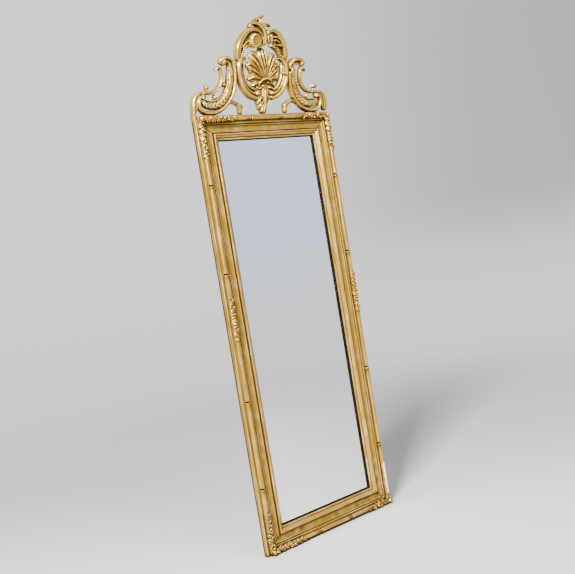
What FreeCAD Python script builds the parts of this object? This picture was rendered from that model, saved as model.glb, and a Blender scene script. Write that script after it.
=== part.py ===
"""Gilt pier mirror with a pierced rocaille crest, as a parametric FreeCAD document.

The mirror stands upright with its front to -Y, +Z up and its foot on z = 0.
Four mitred moulding members hold the glass.  "Depth" is the distance in front of
the frame's flat back.  The crest stands on the top rail and leans forward, so its
pieces are drawn in a plane of their own: x across, s up the crest, and thickness
towards the viewer.
"""
import math
import os

import FreeCAD
import Part
import Sketcher

VEC = FreeCAD.Vector
doc = FreeCAD.newDocument("gilt_pier_mirror")

# ----------------------------------------------------------------- driving sizes
SIZES = (
    ("frame_width", 500, "outer width of the moulded frame"),
    ("frame_height", 1257, "outer height of the moulded frame, without its crest"),
    ("back_y", 35.3, "where the flat back of the frame stands on the Y axis"),
    ("member_width", 72, "face width of a moulding, outer edge to sight edge"),
    ("side_depth", 19, "depth of the frame's outer side"),
    ("edge_round", 2, "rounding of the outer front edge"),
    ("sight_depth", 10, "depth of the lip in front of the glass"),
    ("rebate_width", 8, "how far the lip covers the edge of the glass"),
    ("rebate_depth", 6.4, "depth of the rebate behind the lip"),
    ("torus_centre", 12.5, "outer edge to the middle of the half-round"),
    ("torus_depth", 25, "depth of the half-round's centre"),
    ("torus_radius", 6.5, "radius of the half-round"),
    ("fillet_depth", 22, "depth of the narrow flats on both sides of the groove"),
    ("groove_start", 25.5, "outer edge to the narrow groove"),
    ("groove_end", 30.5, "outer edge to the far side of the narrow groove"),
    ("groove_depth", 18, "depth of the narrow groove's floor"),
    ("cove_end", 50, "outer edge to the far side of the wide hollow"),
    ("cove_depth", 16.5, "depth of the wide hollow's floor"),
    ("bead_start", 52, "outer edge to the small round at the inner slope"),
    ("bead_end", 57.5, "outer edge to the far side of the small round"),
    ("bead_depth", 25.5, "depth of the top of the small round"),
    ("ornament_cover", 3, "thickness of an applied ornament over the half-round"),
    ("top_right_stile_arm", 112, "garland down the right stile from the top corner"),
    ("top_right_rail_arm", 107, "garland along the top rail from the right corner"),
    ("top_left_rail_arm", 126, "garland along the top rail from the left corner"),
    ("top_left_stile_arm", 114, "garland down the left stile from the top corner"),
    ("bottom_left_stile_arm", 118, "garland up the left stile from the bottom corner"),
    ("bottom_left_rail_arm", 126, "garland along the bottom rail from the left corner"),
    ("bottom_right_rail_arm", 98, "garland along the bottom rail from the right corner"),
    ("bottom_right_stile_arm", 22, "what is left of the garland up the right stile"),
    ("side_garland_length", 130, "straight garland on each stile"),
    ("side_garland_z", 685, "height of the middle of each straight garland"),
    ("key_leg", 30, "leg of the triangular key across an outer corner"),
    ("key_thickness", 2, "thickness of a corner key"),
    ("key_depth", 9, "depth of the middle of a corner key"),
    ("glass_thickness", 2.5, "silvered plate"),
    ("glass_gap", 2, "gap from the glass to the rebate wall, filled by blocks"),
    ("block_length", 24, "length of a glass block"),
    ("board_thickness", 2.4, "back board"),
    ("board_gap", 1, "gap between the two back boards and round them"),
    ("brad_radius", 0.7, "brads that hold the back boards"),
    ("brad_length", 14, "length of a brad"),
    ("crest_cant", 12.5, "forward lean of the crest, degrees"),
    ("crest_depth", 4, "depth of the crest's back where it meets the top rail"),
    ("scroll_thickness", 16, "outer scrolls of the wings"),
    ("inner_thickness", 10, "inner scrolls of the wings"),
    ("leaf_thickness", 12, "corner leaves and top leaf"),
    ("foot_thickness", 13, "tendrils that stand on the top rail"),
    ("cartouche_thickness", 18, "the four scrolls round the shell"),
    ("shell_thickness", 13, "the shell"),
    ("stem_thickness", 17, "the stem under the shell"),
    ("strap_width", 14, "iron strap behind the crest"),
    ("strap_thickness", 2, "iron strap behind the crest"),
    ("strap_foot", 52, "length of the strap on the top rail"),
    ("strap_reach", 120, "length of the strap up the crest"),
    ("strap_x", 4, "middle of the strap"),
    ("strap_rise", 1.5, "how far the strap stays upright above the top rail"),
    ("strap_bend", 14, "height up the crest where the strap meets its back"),
    ("rail_screw_upper", 15, "below the top of the frame"),
    ("rail_screw_lower", 38, "below the top of the frame"),
    ("crest_screw_lower", 40, "up the crest"),
    ("crest_screw_upper", 104, "up the crest"),
    ("screw_radius", 1.75, "shank of every screw"),
    ("screw_head", 3.4, "head of every screw"),
    ("screw_length", 14, "length of every screw"),
    ("trim_margin", 30, "how far the box that trims the crest reaches past it"),
    ("hanger_x", 214, "middle of a hanger"),
    ("hanger_z", 1010, "height of a hanger ring's bar"),
    ("hanger_width", 16, "hanger plate"),
    ("hanger_length", 50, "hanger plate"),
    ("hanger_thickness", 1.5, "hanger plate"),
    ("plate_screw_upper", 18, "below the ring's bar"),
    ("plate_screw_lower", 39, "below the ring's bar"),
    ("knuckle_radius", 2.9, "rolled knuckle that holds the ring's bar"),
    ("knuckle_width", 12, "rolled knuckle"),
    ("ring_wire", 1.6, "radius of the ring's wire"),
    ("ring_clearance", 0.1, "running clearance round the ring's bar"),
    ("ring_depth", 3.4, "ring bar's axis behind the frame's flat back"),
    ("ring_bow", 13, "radius of the ring's bow"),
    ("ring_leg", 6, "straight leg of the ring above its bow"),
)

sheet = doc.addObject("Spreadsheet::Sheet", "sizes")
for row, (alias, number, meaning) in enumerate(SIZES, start=1):
    sheet.set(f"A{row}", meaning)
    sheet.set(f"B{row}", str(number))
    sheet.setAlias(f"B{row}", alias)
doc.recompute()


def size(alias):
    """A driving dimension as a number."""
    return float(getattr(sheet, alias))


def bind(item, **rules):
    """Bind properties to the sheet; a double underscore stands for a dot."""
    for path, rule in rules.items():
        item.setExpression(path.replace("__", "."), rule)
    return item


# ------------------------------------------------------------ PartDesign helpers
def new_body(name):
    """A body whose label becomes the node's name."""
    body = doc.addObject("PartDesign::Body", name)
    body.Label = name
    return body


def new_sketch(body, plane, name, offset=0.0):
    """A sketch on one of the body's own planes, moved along the plane's normal."""
    sketch = body.newObject("Sketcher::SketchObject", name)
    support = next(f for f in body.Origin.OriginFeatures if f.Role == plane)
    sketch.AttachmentSupport = [(support, "")]
    sketch.MapMode = "FlatFace"
    sketch.AttachmentOffset = FreeCAD.Placement(VEC(0, 0, offset), FreeCAD.Rotation())
    return sketch


def add_outline(sketch, corners):
    """Closed outline; a corner is a point, or (middle, end) of the arc to it."""
    start = VEC(*corners[0], 0)
    here = start
    edges = []
    joints = []
    for corner in corners[1:]:
        if isinstance(corner[0], tuple):
            there = VEC(*corner[1], 0)
            edges.append(Part.Arc(here, VEC(*corner[0], 0), there))
        else:
            there = VEC(*corner, 0)
            edges.append(Part.LineSegment(here, there))
        joints.append(there)
        here = there
    if here.distanceToPoint(start) > 1e-6:
        edges.append(Part.LineSegment(here, start))
        joints.append(start)
    sketch.addGeometry(edges, False)
    for index, joint in enumerate(joints):
        following = (index + 1) % len(edges)
        ends = [1 if sketch.getPoint(edge, 1).distanceToPoint(joint) < 1e-6 else 2
                for edge in (index, following)]
        sketch.addConstraint(
            Sketcher.Constraint("Coincident", index, ends[0], following, ends[1]))


def pad(body, sketch, name, length_rule, symmetric=False):
    """Pad whose length is bound to the sheet."""
    feature = body.newObject("PartDesign::Pad", name)
    feature.Profile = sketch
    if symmetric:
        feature.SideType = "Symmetric"
    return bind(feature, Length=length_rule)


def pocket(body, sketch, name, length_rule=None):
    """Pocket both ways from its sketch: right through, or a bound width."""
    feature = body.newObject("PartDesign::Pocket", name)
    feature.Profile = sketch
    feature.SideType = "Symmetric"
    if length_rule is None:
        feature.Type = "ThroughAll"
    else:
        bind(feature, Length=length_rule)
    return feature


def place(item, x=None, y=None, z=None, rotation=None):
    """Set a rotation, then bind the coordinates of the placement."""
    if rotation is not None:
        item.Placement = FreeCAD.Placement(VEC(0, 0, 0), rotation)
    for axis, rule in (("x", x), ("y", y), ("z", z)):
        if rule is not None:
            item.setExpression(f"Placement.Base.{axis}", rule)
    return item


# ------------------------------------------------------------- the moulded frame
# A member is drawn in its own axes: X from the outer edge to the sight edge,
# Y the depth, Z along the member with its middle at zero.  Each quarter turn
# about the global Y axis takes the right stile to the next member.
def member_turn(degrees):
    """Rotation from a member's own axes to the frame's."""
    face_forward = FreeCAD.Rotation(VEC(0, 0, 1), 180)
    return FreeCAD.Rotation(VEC(0, 1, 0), degrees).multiply(face_forward)


RIGHT, TOP, LEFT, BOTTOM = (member_turn(angle) for angle in (0, -90, -180, 90))


def moulding_profile():
    """Section of the moulding as points (distance from the outer edge, depth)."""
    width = size("member_width")
    side = size("side_depth")
    lip = size("sight_depth")
    rebate = size("rebate_depth")
    ledge = width - size("rebate_width")
    middle = size("torus_centre")
    depth = size("torus_depth")
    radius = size("torus_radius")
    edge = size("edge_round")
    edge_middle = edge * (1 - math.sqrt(0.5))
    fillet = size("fillet_depth")
    groove = (size("groove_start"), size("groove_end"))
    floor = size("groove_depth")
    cove_end = size("cove_end")
    bead = (size("bead_start"), size("bead_end"))
    return (
        (0, 0),
        (0, side - edge),
        ((edge_middle, side - edge_middle), (edge, side)),
        (middle - radius - 1.5, side),
        (middle - radius, side + 1),
        (middle - radius, depth),
        ((middle, depth + radius), (middle + radius, depth)),
        (middle + radius, fillet),
        (groove[0], fillet),
        (groove[0] + 1, floor),
        (groove[1] - 1.5, floor),
        (groove[1], fillet),
        (((groove[1] + cove_end) / 2, size("cove_depth")), (cove_end, fillet)),
        (bead[0], fillet + 1),
        ((sum(bead) / 2, size("bead_depth")), (bead[1], fillet + 2)),
        (width - 1, lip + 0.5),
        (width, lip - 0.5),
        (width, rebate),
        (ledge, rebate),
        (ledge, 0),
    )


def moulded_member(name, length, rotation, **position):
    """One mitred member, with the saw cuts for its two corner keys."""
    body = new_body(name)
    width = size("member_width")
    half = size(length) / 2
    leg = size("key_leg")
    over = 5  # how far the cutting outlines run past the wood

    section = new_sketch(body, "XY_Plane", f"{name}_section")
    add_outline(section, moulding_profile())
    pad(body, section, f"{name}_length", f"sizes.{length}", symmetric=True)

    for end, label in ((1, "upper"), (-1, "lower")):
        mitre = new_sketch(body, "XZ_Plane", f"{name}_{label}_mitre")
        add_outline(mitre, (
            (-over, end * (half + over)),
            (width + over, end * (half - width - over)),
            (width + over, end * (half + over)),
        ))
        pocket(body, mitre, f"{name}_{label}_mitre_cut")
        kerf = new_sketch(body, "XZ_Plane", f"{name}_{label}_kerf", -size("key_depth"))
        add_outline(kerf, (
            (-over, end * (half - leg - over)),
            (leg + over, end * (half + over)),
            (-over, end * (half + over)),
        ))
        pocket(body, kerf, f"{name}_{label}_kerf_cut", "sizes.key_thickness")
    return place(body, rotation=rotation, y="sizes.back_y", **position)


def corner_key(name, length, rotation, **position):
    """Triangular wooden key at the upper end of a member, in that member's axes."""
    body = new_body(name)
    half = size(length) / 2
    leg = size("key_leg")
    outline = new_sketch(body, "XZ_Plane", f"{name}_outline", -size("key_depth"))
    add_outline(outline, ((0, half - leg), (leg, half), (0, half)))
    pad(body, outline, f"{name}_thickness", "sizes.key_thickness", symmetric=True)
    return place(body, rotation=rotation, y="sizes.back_y", **position)


def group(name, members):
    """Several separate solids of one kind, kept together as one node."""
    compound = doc.addObject("Part::Compound", name)
    compound.Links = members
    compound.Label = name
    return compound


MEMBERS = (
    ("right_stile", "frame_height", RIGHT,
     {"x": "sizes.frame_width / 2", "z": "sizes.frame_height / 2"}),
    ("top_rail", "frame_width", TOP, {"x": "0", "z": "sizes.frame_height"}),
    ("left_stile", "frame_height", LEFT,
     {"x": "-sizes.frame_width / 2", "z": "sizes.frame_height / 2"}),
    ("bottom_rail", "frame_width", BOTTOM, {"x": "0", "z": "0"}),
)

for name, length, rotation, position in MEMBERS:
    moulded_member(name, length, rotation, **position)
group("corner_keys", [
    corner_key(f"key_of_{name}", length, rotation, **position)
    for name, length, rotation, position in MEMBERS
])


# ------------------------------------------------------------- glass and its back
LEDGE = "(sizes.member_width - sizes.rebate_width)"
REBATE_X = f"(sizes.frame_width - 2 * {LEDGE})"
REBATE_Z = f"(sizes.frame_height - 2 * {LEDGE})"


def board(name, length, width, height, x, y, z):
    """A box whose sizes and corner are rules of the sheet."""
    box = doc.addObject("Part::Box", name)
    box.Label = name
    bind(box, Length=length, Width=width, Height=height)
    return place(box, x=x, y=y, z=z)


GLASS_Y = "sizes.back_y - sizes.rebate_depth"
board("mirror_glass",
      f"{REBATE_X} - 2 * sizes.glass_gap", "sizes.glass_thickness",
      f"{REBATE_Z} - 2 * sizes.glass_gap",
      f"-{REBATE_X} / 2 + sizes.glass_gap", GLASS_Y, f"{LEDGE} + sizes.glass_gap")

BOARD_WIDTH = f"({REBATE_X} - 3 * sizes.board_gap) / 2"
BOARD_Y = f"{GLASS_Y} + sizes.glass_thickness"
for name, start in (
    ("backboard_left", f"-{REBATE_X} / 2 + sizes.board_gap"),
    ("backboard_right", "sizes.board_gap / 2"),
):
    board(name, BOARD_WIDTH, "sizes.board_thickness", f"{REBATE_Z} - 2 * sizes.board_gap",
          start, BOARD_Y, f"{LEDGE} + sizes.board_gap")

blocks = []
for part in (0.2, 0.8):
    for side, start in ((-1, f"-{REBATE_X} / 2"), (1, f"{REBATE_X} / 2 - sizes.glass_gap")):
        blocks.append(board(
            f"glass_block_{len(blocks) + 1}", "sizes.glass_gap", "sizes.glass_thickness",
            "sizes.block_length", start, GLASS_Y,
            f"{LEDGE} + {part} * {REBATE_Z} - sizes.block_length / 2"))
    for start in (LEDGE, f"{LEDGE} + {REBATE_Z} - sizes.glass_gap"):
        blocks.append(board(
            f"glass_block_{len(blocks) + 1}", "sizes.block_length", "sizes.glass_thickness",
            "sizes.glass_gap", f"({part} - 0.5) * {REBATE_X} - sizes.block_length / 2",
            GLASS_Y, start))
group("glass_blocks", blocks)


def rod(name, radius, length, x, y, z, direction):
    """A cylinder along a direction, centred on its point."""
    cylinder = doc.addObject("Part::Cylinder", name)
    bind(cylinder, Radius=radius, Height=length)
    turn = FreeCAD.Rotation(VEC(0, 0, 1), VEC(*direction))
    axes = dict(zip("xyz", (x, y, z)))
    along = "xyz"[[abs(part) for part in direction].index(1)]
    sign = "-" if sum(direction) > 0 else "+"
    axes[along] = f"{axes[along]} {sign} ({length}) / 2"
    return place(cylinder, rotation=turn, **axes)


brads = []
BRAD_Y = f"{BOARD_Y} + sizes.board_thickness + sizes.brad_radius"
for side in (-1, 1):
    for part in (0.08, 0.36, 0.64, 0.92):
        brads.append(rod(
            f"brad_{len(brads) + 1}", "sizes.brad_radius", "sizes.brad_length",
            f"{side} * {REBATE_X} / 2", BRAD_Y, f"{LEDGE} + {part} * {REBATE_Z}", (1, 0, 0)))
for level in (LEDGE, f"{LEDGE} + {REBATE_Z}"):
    for part in (-0.3, 0.3):
        brads.append(rod(
            f"brad_{len(brads) + 1}", "sizes.brad_radius", "sizes.brad_length",
            f"{part} * {REBATE_X}", BRAD_Y, level, (0, 0, 1)))
group("backboard_brads", brads)


# ------------------------------------------- applied ornaments on the half-round
def half_ring(body, name):
    """Sketch of the half ring that lies on the half-round, across a member."""
    sketch = new_sketch(body, "XY_Plane", name)
    inner = size("torus_radius")
    outer = inner + size("ornament_cover")
    add_outline(sketch, (
        (inner, 0),
        (outer, 0),
        ((0, outer), (-outer, 0)),
        (-inner, 0),
        ((0, inner), (inner, 0)),
    ))
    return sketch


def ornament_arm(name, rotation, length, end, across, up):
    """Half-ring arm that runs away from a corner; end 1 mitres its upper end."""
    body = new_body(name)
    section = half_ring(body, f"{name}_section")
    pad(body, section, f"{name}_relief", f"2 * sizes.{length}", symmetric=True)
    over = size("torus_centre")
    beyond = end * (size(length) + 1)
    mitre = new_sketch(body, "XZ_Plane", f"{name}_mitre")
    add_outline(mitre, ((-over, end * over), (over, -end * over), (over, beyond), (-over, beyond)))
    pocket(body, mitre, f"{name}_mitre_cut")
    edge_x = "(sizes.frame_width / 2 - sizes.torus_centre)"
    top_z = "sizes.frame_height - sizes.torus_centre"
    return place(body, rotation=rotation, x=f"{across} * {edge_x}",
                 y="sizes.back_y - sizes.torus_depth",
                 z=top_z if up > 0 else "sizes.torus_centre")


def corner_ornament(name, turns, arms, across, up):
    """L-shaped garland: an arm up one member to the corner, and one along the next."""
    joined = doc.addObject("Part::Fuse", name)
    joined.Base = ornament_arm(f"{name}_first", turns[0], arms[0], 1, across, up)
    joined.Tool = ornament_arm(f"{name}_second", turns[1], arms[1], -1, across, up)
    joined.Label = name
    return joined


corner_ornament("corner_ornament_top_right", (RIGHT, TOP),
                ("top_right_stile_arm", "top_right_rail_arm"), 1, 1)
corner_ornament("corner_ornament_top_left", (TOP, LEFT),
                ("top_left_rail_arm", "top_left_stile_arm"), -1, 1)
corner_ornament("corner_ornament_bottom_left", (LEFT, BOTTOM),
                ("bottom_left_stile_arm", "bottom_left_rail_arm"), -1, -1)
corner_ornament("corner_ornament_bottom_right", (BOTTOM, RIGHT),
                ("bottom_right_rail_arm", "bottom_right_stile_arm"), 1, -1)


def side_ornament(name, across):
    """Straight garland on the middle of a stile."""
    body = new_body(name)
    section = half_ring(body, f"{name}_section")
    pad(body, section, f"{name}_relief", "sizes.side_garland_length", symmetric=True)
    return place(
        body, rotation=RIGHT,
        x=f"{across} * (sizes.frame_width / 2 - sizes.torus_centre)",
        y="sizes.back_y - sizes.torus_depth", z="sizes.side_garland_z")


side_ornament("side_ornament_left", -1)
side_ornament("side_ornament_right", 1)


# ---------------------------------------------------------------------- the crest
# Crest pieces are drawn in (x, s): s runs up the crest's leaning back.  A band is
# a centre line given as (x, s, half width); a disc is (x, s, radius).
CREST_TURN = FreeCAD.Rotation(VEC(1, 0, 0), 90 + size("crest_cant"))

OUTER_SCROLL = (
    (152, 145, 5), (146, 155, 7), (133, 159, 8), (120, 153, 10.5), (112, 139, 12),
    (111, 122, 13), (111, 105, 13.5), (113, 88, 13.5), (118, 70, 14), (127, 53, 15),
    (142, 38, 16), (161, 27, 16.5), (183, 23, 16.5), (203, 25, 15), (218, 33, 11),
    (223, 44, 7.5), (214, 52, 6.5),
)
SCROLL_FOOTING = ((160, 4, 5), (183, 3, 5), (206, 4, 5))
INNER_SCROLL = (
    (161, 128, 4), (152, 131, 4.5), (147, 121, 4.5), (146, 106, 5), (150, 91, 5),
    (160, 78, 5), (174, 68, 4.5), (189, 65, 4.5), (204, 66, 4.5), (217, 64, 4),
)
INNER_DISCS = ((162, 128, 6.5), (200, 77, 8.5))
UPPER_LINK = ((152, 88, 4), (138, 87, 7.5), (124, 86, 4))
LOWER_LINK = ((171, 66, 3.5), (171, 53, 6), (171, 40, 3.5))
CORNER_LEAF = (
    (206, 63, 3), (222, 60, 5.5), (237, 50, 7.5), (244, 35, 7.5), (245.5, 20, 7),
    (246, 9, 6.5), (245, -2, 7.5),
)
FOOT_TENDRIL = (
    (146, 22, 4), (131, 33, 4.5), (115, 37, 4.5), (100, 36, 5), (90, 29, 6.5),
    (85, 16, 8), (85, -2, 9),
)
LEFT_UPPER = (
    (3, 219, 7), (-13, 234, 7), (-32, 238, 8), (-52, 229, 13), (-69, 213, 14),
    (-81, 193, 13), (-87, 173, 10.5), (-89, 154, 8),
)
BEADED_EDGE = ((-42, 197, 4), (-59, 194, 5), (-69, 182, 5), (-75, 165, 4))
VOLUTE_BOSS = (-27, 210, 17.5)
LEFT_LOWER = (
    (-61, 156, 2.5), (-71, 154, 5.5), (-80, 145, 8.5), (-83, 128, 11), (-81, 108, 12),
    (-76, 88, 13), (-66, 71, 14), (-51, 58, 15), (-34, 54, 15), (-19, 57, 12),
    (-7, 69, 6),
)
RIGHT_UPPER = (
    (25, 224, 11), (38, 232, 14), (56, 225, 15), (71, 208, 15), (80, 190, 13.5),
    (85, 172, 10.5), (87, 154, 8),
)
ROLLED_END = ((31, 224, 10), (31, 212, 9.5), (32, 204, 7))
RIGHT_LOWER = (
    (62, 159, 2.5), (72, 156, 5.5), (81, 147, 8.5), (85, 130, 10.5), (83, 110, 12),
    (78, 92, 13), (69, 74, 14), (55, 60, 15), (38, 54, 14.5), (24, 57, 10),
    (19, 66, 6),
)
TOP_LEAF = (
    (10, 197, 6), (13, 217, 7), (11, 236, 8), (2, 250, 8), (-12, 259, 7),
    (-27, 260, 6), (-39, 254, 4), (-45, 247, 2.5),
)
TOP_TIP = ((-24, 266, 2.5), (-11, 268, 4.5), (2, 274, 4), (13, 280, 2))
TOP_SIDE_LEAF = ((6, 246, 5), (16, 255, 4.5), (27, 257, 3.5), (36, 251, 2))
STEM = (
    (8, 84, 12), (5, 62, 10), (3, 44, 8.5), (2, 27, 8.5), (-2, 11, 12), (-4, -4, 17),
)
STEM_LEAF = ((-4, 44, 4), (-15, 38, 5), (-18, 27, 5), (-9, 16, 5))
SHELL_BASE = (10, 92)
SHELL_TIPS = (
    (-36, 82), (-50, 102), (-55, 138), (-46, 174), (0, 196), (45, 177), (66, 139),
    (58, 103), (42, 82),
)
SHELL_NOTCHES = (
    (-40, 94), (-44, 118), (-45, 154), (-21, 177), (19, 176), (40, 150), (42, 117),
    (41, 94),
)


def band_outline(points):
    """Points round a band: along one side, past the end, and back."""
    left, right = [], []
    count = len(points)
    for index, (x, s, half) in enumerate(points):
        before = points[max(index - 1, 0)]
        after = points[min(index + 1, count - 1)]
        run = VEC(after[0] - before[0], after[1] - before[1], 0).normalize()
        across = VEC(-run.y, run.x, 0) * half
        left.append(VEC(x, s, 0) + across)
        right.append(VEC(x, s, 0) - across)
        if index == 0:
            first_cap = VEC(x, s, 0) - run * half * 0.8
    last_cap = VEC(points[-1][0], points[-1][1], 0) + run * points[-1][2] * 0.8
    return left + [last_cap] + right[::-1] + [first_cap]


def carve(body, name, outline, thickness, side=1):
    """Pad one closed smooth outline to a thickness of the sheet."""
    curve = Part.BSplineCurve()
    curve.interpolate(Points=[VEC(side * p.x, p.y, 0) for p in outline], PeriodicFlag=True)
    sketch = new_sketch(body, "XY_Plane", f"{name}_outline")
    sketch.addGeometry(curve, False)
    return pad(body, sketch, name, f"sizes.{thickness}")


def carve_disc(body, name, disc, thickness, side=1):
    """Pad one round boss to a thickness of the sheet."""
    x, s, radius = disc
    sketch = new_sketch(body, "XY_Plane", f"{name}_outline")
    sketch.addGeometry(Part.Circle(VEC(side * x, s, 0), VEC(0, 0, 1), radius), False)
    return pad(body, sketch, name, f"sizes.{thickness}")


def crest_piece(name, thickness, bands=(), discs=(), outline=None, trimmed=False, side=1):
    """A crest piece from its bands, discs or outline; side -1 mirrors it.

    A trimmed piece is cut off level where it stands on the top rail.
    """
    body = new_body(f"{name}_carving" if trimmed else name)
    if outline:
        carve(body, f"{name}_sheet", outline, thickness, side)
    for index, points in enumerate(bands, start=1):
        carve(body, f"{name}_band_{index}", band_outline(points), thickness, side)
    for index, disc in enumerate(discs, start=1):
        carve_disc(body, f"{name}_disc_{index}", disc, thickness, side)
    place(body, rotation=CREST_TURN, x="0", y="sizes.back_y - sizes.crest_depth",
          z="sizes.frame_height")
    if not trimmed:
        return body
    cut = doc.addObject("Part::Cut", name)
    cut.Base = body
    cut.Tool = rail_cutter
    cut.Label = name
    return cut


rail_cutter = board(
    "rail_cutter", "sizes.frame_width + 2 * sizes.trim_margin",
    "sizes.back_y + 2 * sizes.trim_margin", "sizes.trim_margin",
    "-sizes.frame_width / 2 - sizes.trim_margin", "-sizes.trim_margin",
    "sizes.frame_height - sizes.trim_margin")

for hand, side in (("left", -1), ("right", 1)):
    crest_piece(f"crest_outer_scroll_{hand}", "scroll_thickness",
                bands=(OUTER_SCROLL, SCROLL_FOOTING), trimmed=True, side=side)
    crest_piece(f"crest_inner_scroll_{hand}", "inner_thickness",
                bands=(INNER_SCROLL, UPPER_LINK, LOWER_LINK), discs=INNER_DISCS, side=side)
    leaf = CORNER_LEAF if hand == "left" else CORNER_LEAF[:-1]
    crest_piece(f"crest_corner_leaf_{hand}", "leaf_thickness",
                bands=(leaf,), trimmed=True, side=side)
    crest_piece(f"crest_foot_{hand}", "foot_thickness",
                bands=(FOOT_TENDRIL,), trimmed=True, side=side)

crest_piece("cartouche_left_upper", "cartouche_thickness",
            bands=(LEFT_UPPER, BEADED_EDGE), discs=(VOLUTE_BOSS,))
crest_piece("cartouche_left_lower", "cartouche_thickness", bands=(LEFT_LOWER,))
crest_piece("cartouche_right_upper", "cartouche_thickness",
            bands=(RIGHT_UPPER, ROLLED_END))
crest_piece("cartouche_right_lower", "cartouche_thickness", bands=(RIGHT_LOWER,))
crest_piece("crest_top_leaf", "leaf_thickness", bands=(TOP_LEAF, TOP_TIP, TOP_SIDE_LEAF))
crest_piece("crest_stem", "stem_thickness", bands=(STEM, STEM_LEAF), trimmed=True)

fan = [VEC(*SHELL_TIPS[0], 0)]
for notch, tip in zip(SHELL_NOTCHES, SHELL_TIPS[1:]):
    fan += [VEC(*notch, 0), VEC(*tip, 0)]
fan.append(VEC(SHELL_BASE[0], SHELL_BASE[1] - 18, 0))
crest_piece("crest_shell", "shell_thickness", outline=fan)


# ------------------------------------------------------------------------- screws
def screw(name, point, direction):
    """Countersunk wood screw: the middle of its head's flat, and which way it goes."""
    turn = FreeCAD.Rotation(VEC(0, 0, 1), VEC(*direction))
    head = doc.addObject("Part::Cone", f"{name}_head")
    bind(head, Radius1="sizes.screw_head", Radius2="sizes.screw_radius",
         Height="sizes.screw_head - sizes.screw_radius")
    shank = doc.addObject("Part::Cylinder", f"{name}_shank")
    bind(shank, Radius="sizes.screw_radius", Height="sizes.screw_length")
    whole = doc.addObject("Part::Fuse", name)
    whole.Base = head
    whole.Tool = shank
    whole.Placement = FreeCAD.Placement(VEC(*point), turn)
    return whole


def holed(base, screws, name):
    """The base with a hole of its own shape for every screw."""
    tools = doc.addObject("Part::MultiFuse", f"{name}_holes")
    tools.Shapes = screws
    cut = doc.addObject("Part::Cut", name)
    cut.Base = base
    cut.Tool = tools
    cut.Label = name
    return cut


# -------------------------------------------------------- iron strap behind the crest
def crest_point(s, behind=0.0):
    """(y, z) of a point at height s on the crest's back, or a little behind it."""
    lean = math.radians(size("crest_cant"))
    y = size("back_y") - size("crest_depth") - s * math.sin(lean) + behind * math.cos(lean)
    z = size("frame_height") + s * math.cos(lean) + behind * math.sin(lean)
    return y, z


def bent_strap():
    """Flat iron strap: flat on the top rail's back, then bent along the crest."""
    body = new_body("bent_strap")
    top = size("frame_height")
    back = size("back_y")
    thick = size("strap_thickness")
    rise = top + size("strap_rise")
    bend = size("strap_bend")
    outline = new_sketch(body, "YZ_Plane", "strap_outline")
    add_outline(outline, (
        (back, top - size("strap_foot")),
        (back, rise),
        crest_point(bend),
        crest_point(size("strap_reach")),
        crest_point(size("strap_reach"), thick),
        crest_point(bend, thick),
        (back + thick, rise),
        (back + thick, top - size("strap_foot")),
    ))
    pad(body, outline, "strap_bar", "sizes.strap_width", symmetric=True)
    return place(body, x="sizes.strap_x")


lean = math.radians(size("crest_cant"))
strap_screws = []
for name in ("rail_screw_upper", "rail_screw_lower"):
    point = (size("strap_x"), size("back_y") + size("strap_thickness"),
             size("frame_height") - size(name))
    strap_screws.append(screw(name, point, (0, -1, 0)))
for name in ("crest_screw_lower", "crest_screw_upper"):
    point = (size("strap_x"), *crest_point(size(name), size("strap_thickness")))
    strap_screws.append(screw(name, point, (0, -math.cos(lean), -math.sin(lean))))
holed(bent_strap(), strap_screws, "crest_strap")
group("crest_screws", strap_screws)


# ------------------------------------------------------------------------ hangers
def hanger_plate(name, across):
    """Plate with a rolled knuckle at its upper end for the ring's bar."""
    plate = board(f"{name}_flat", "sizes.hanger_width", "sizes.hanger_thickness",
                  "sizes.hanger_length", f"{across} * sizes.hanger_x - sizes.hanger_width / 2",
                  "sizes.back_y", "sizes.hanger_z - sizes.hanger_length")
    bar = (f"{across} * sizes.hanger_x", "sizes.back_y + sizes.ring_depth", "sizes.hanger_z")
    knuckle = rod(f"{name}_knuckle", "sizes.knuckle_radius", "sizes.knuckle_width",
                  *bar, (1, 0, 0))
    bore = rod(f"{name}_bore", "sizes.ring_wire + sizes.ring_clearance",
               "sizes.knuckle_width + 2", *bar, (1, 0, 0))
    solid = doc.addObject("Part::Fuse", f"{name}_solid")
    solid.Base = plate
    solid.Tool = knuckle
    bored = doc.addObject("Part::Cut", f"{name}_bored")
    bored.Base = solid
    bored.Tool = bore
    screws = [
        screw(f"{name}_{level}",
              (across * size("hanger_x"), size("back_y") + size("hanger_thickness"),
               size("hanger_z") - size(level)),
              (0, -1, 0))
        for level in ("plate_screw_upper", "plate_screw_lower")
    ]
    holed(bored, screws, name)
    return screws


def hanger_ring(name, across):
    """D ring: straight bar, two legs and a half-round bow, hanging down."""
    x = f"{across} * sizes.hanger_x"
    y = "sizes.back_y + sizes.ring_depth"
    z = "sizes.hanger_z"
    pieces = [rod(f"{name}_bar", "sizes.ring_wire", "2 * sizes.ring_bow", x, y, z, (1, 0, 0))]
    for hand in (-1, 1):
        side = f"{x} + {hand} * sizes.ring_bow"
        pieces.append(rod(f"{name}_leg_{hand + 2}", "sizes.ring_wire", "sizes.ring_leg",
                          side, y, f"{z} - sizes.ring_leg / 2", (0, 0, 1)))
        corner = doc.addObject("Part::Sphere", f"{name}_corner_{hand + 2}")
        bind(corner, Radius="sizes.ring_wire")
        pieces.append(place(corner, x=side, y=y, z=z))
    bow = doc.addObject("Part::Torus", f"{name}_bow")
    bind(bow, Radius1="sizes.ring_bow", Radius2="sizes.ring_wire", Angle3="180")
    lower_half = FreeCAD.Rotation(VEC(1, 0, 0), -90)
    pieces.append(place(bow, x=x, y=y, z=f"{z} - sizes.ring_leg", rotation=lower_half))
    ring = doc.addObject("Part::MultiFuse", name)
    ring.Shapes = pieces
    ring.Label = name
    return ring


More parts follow.
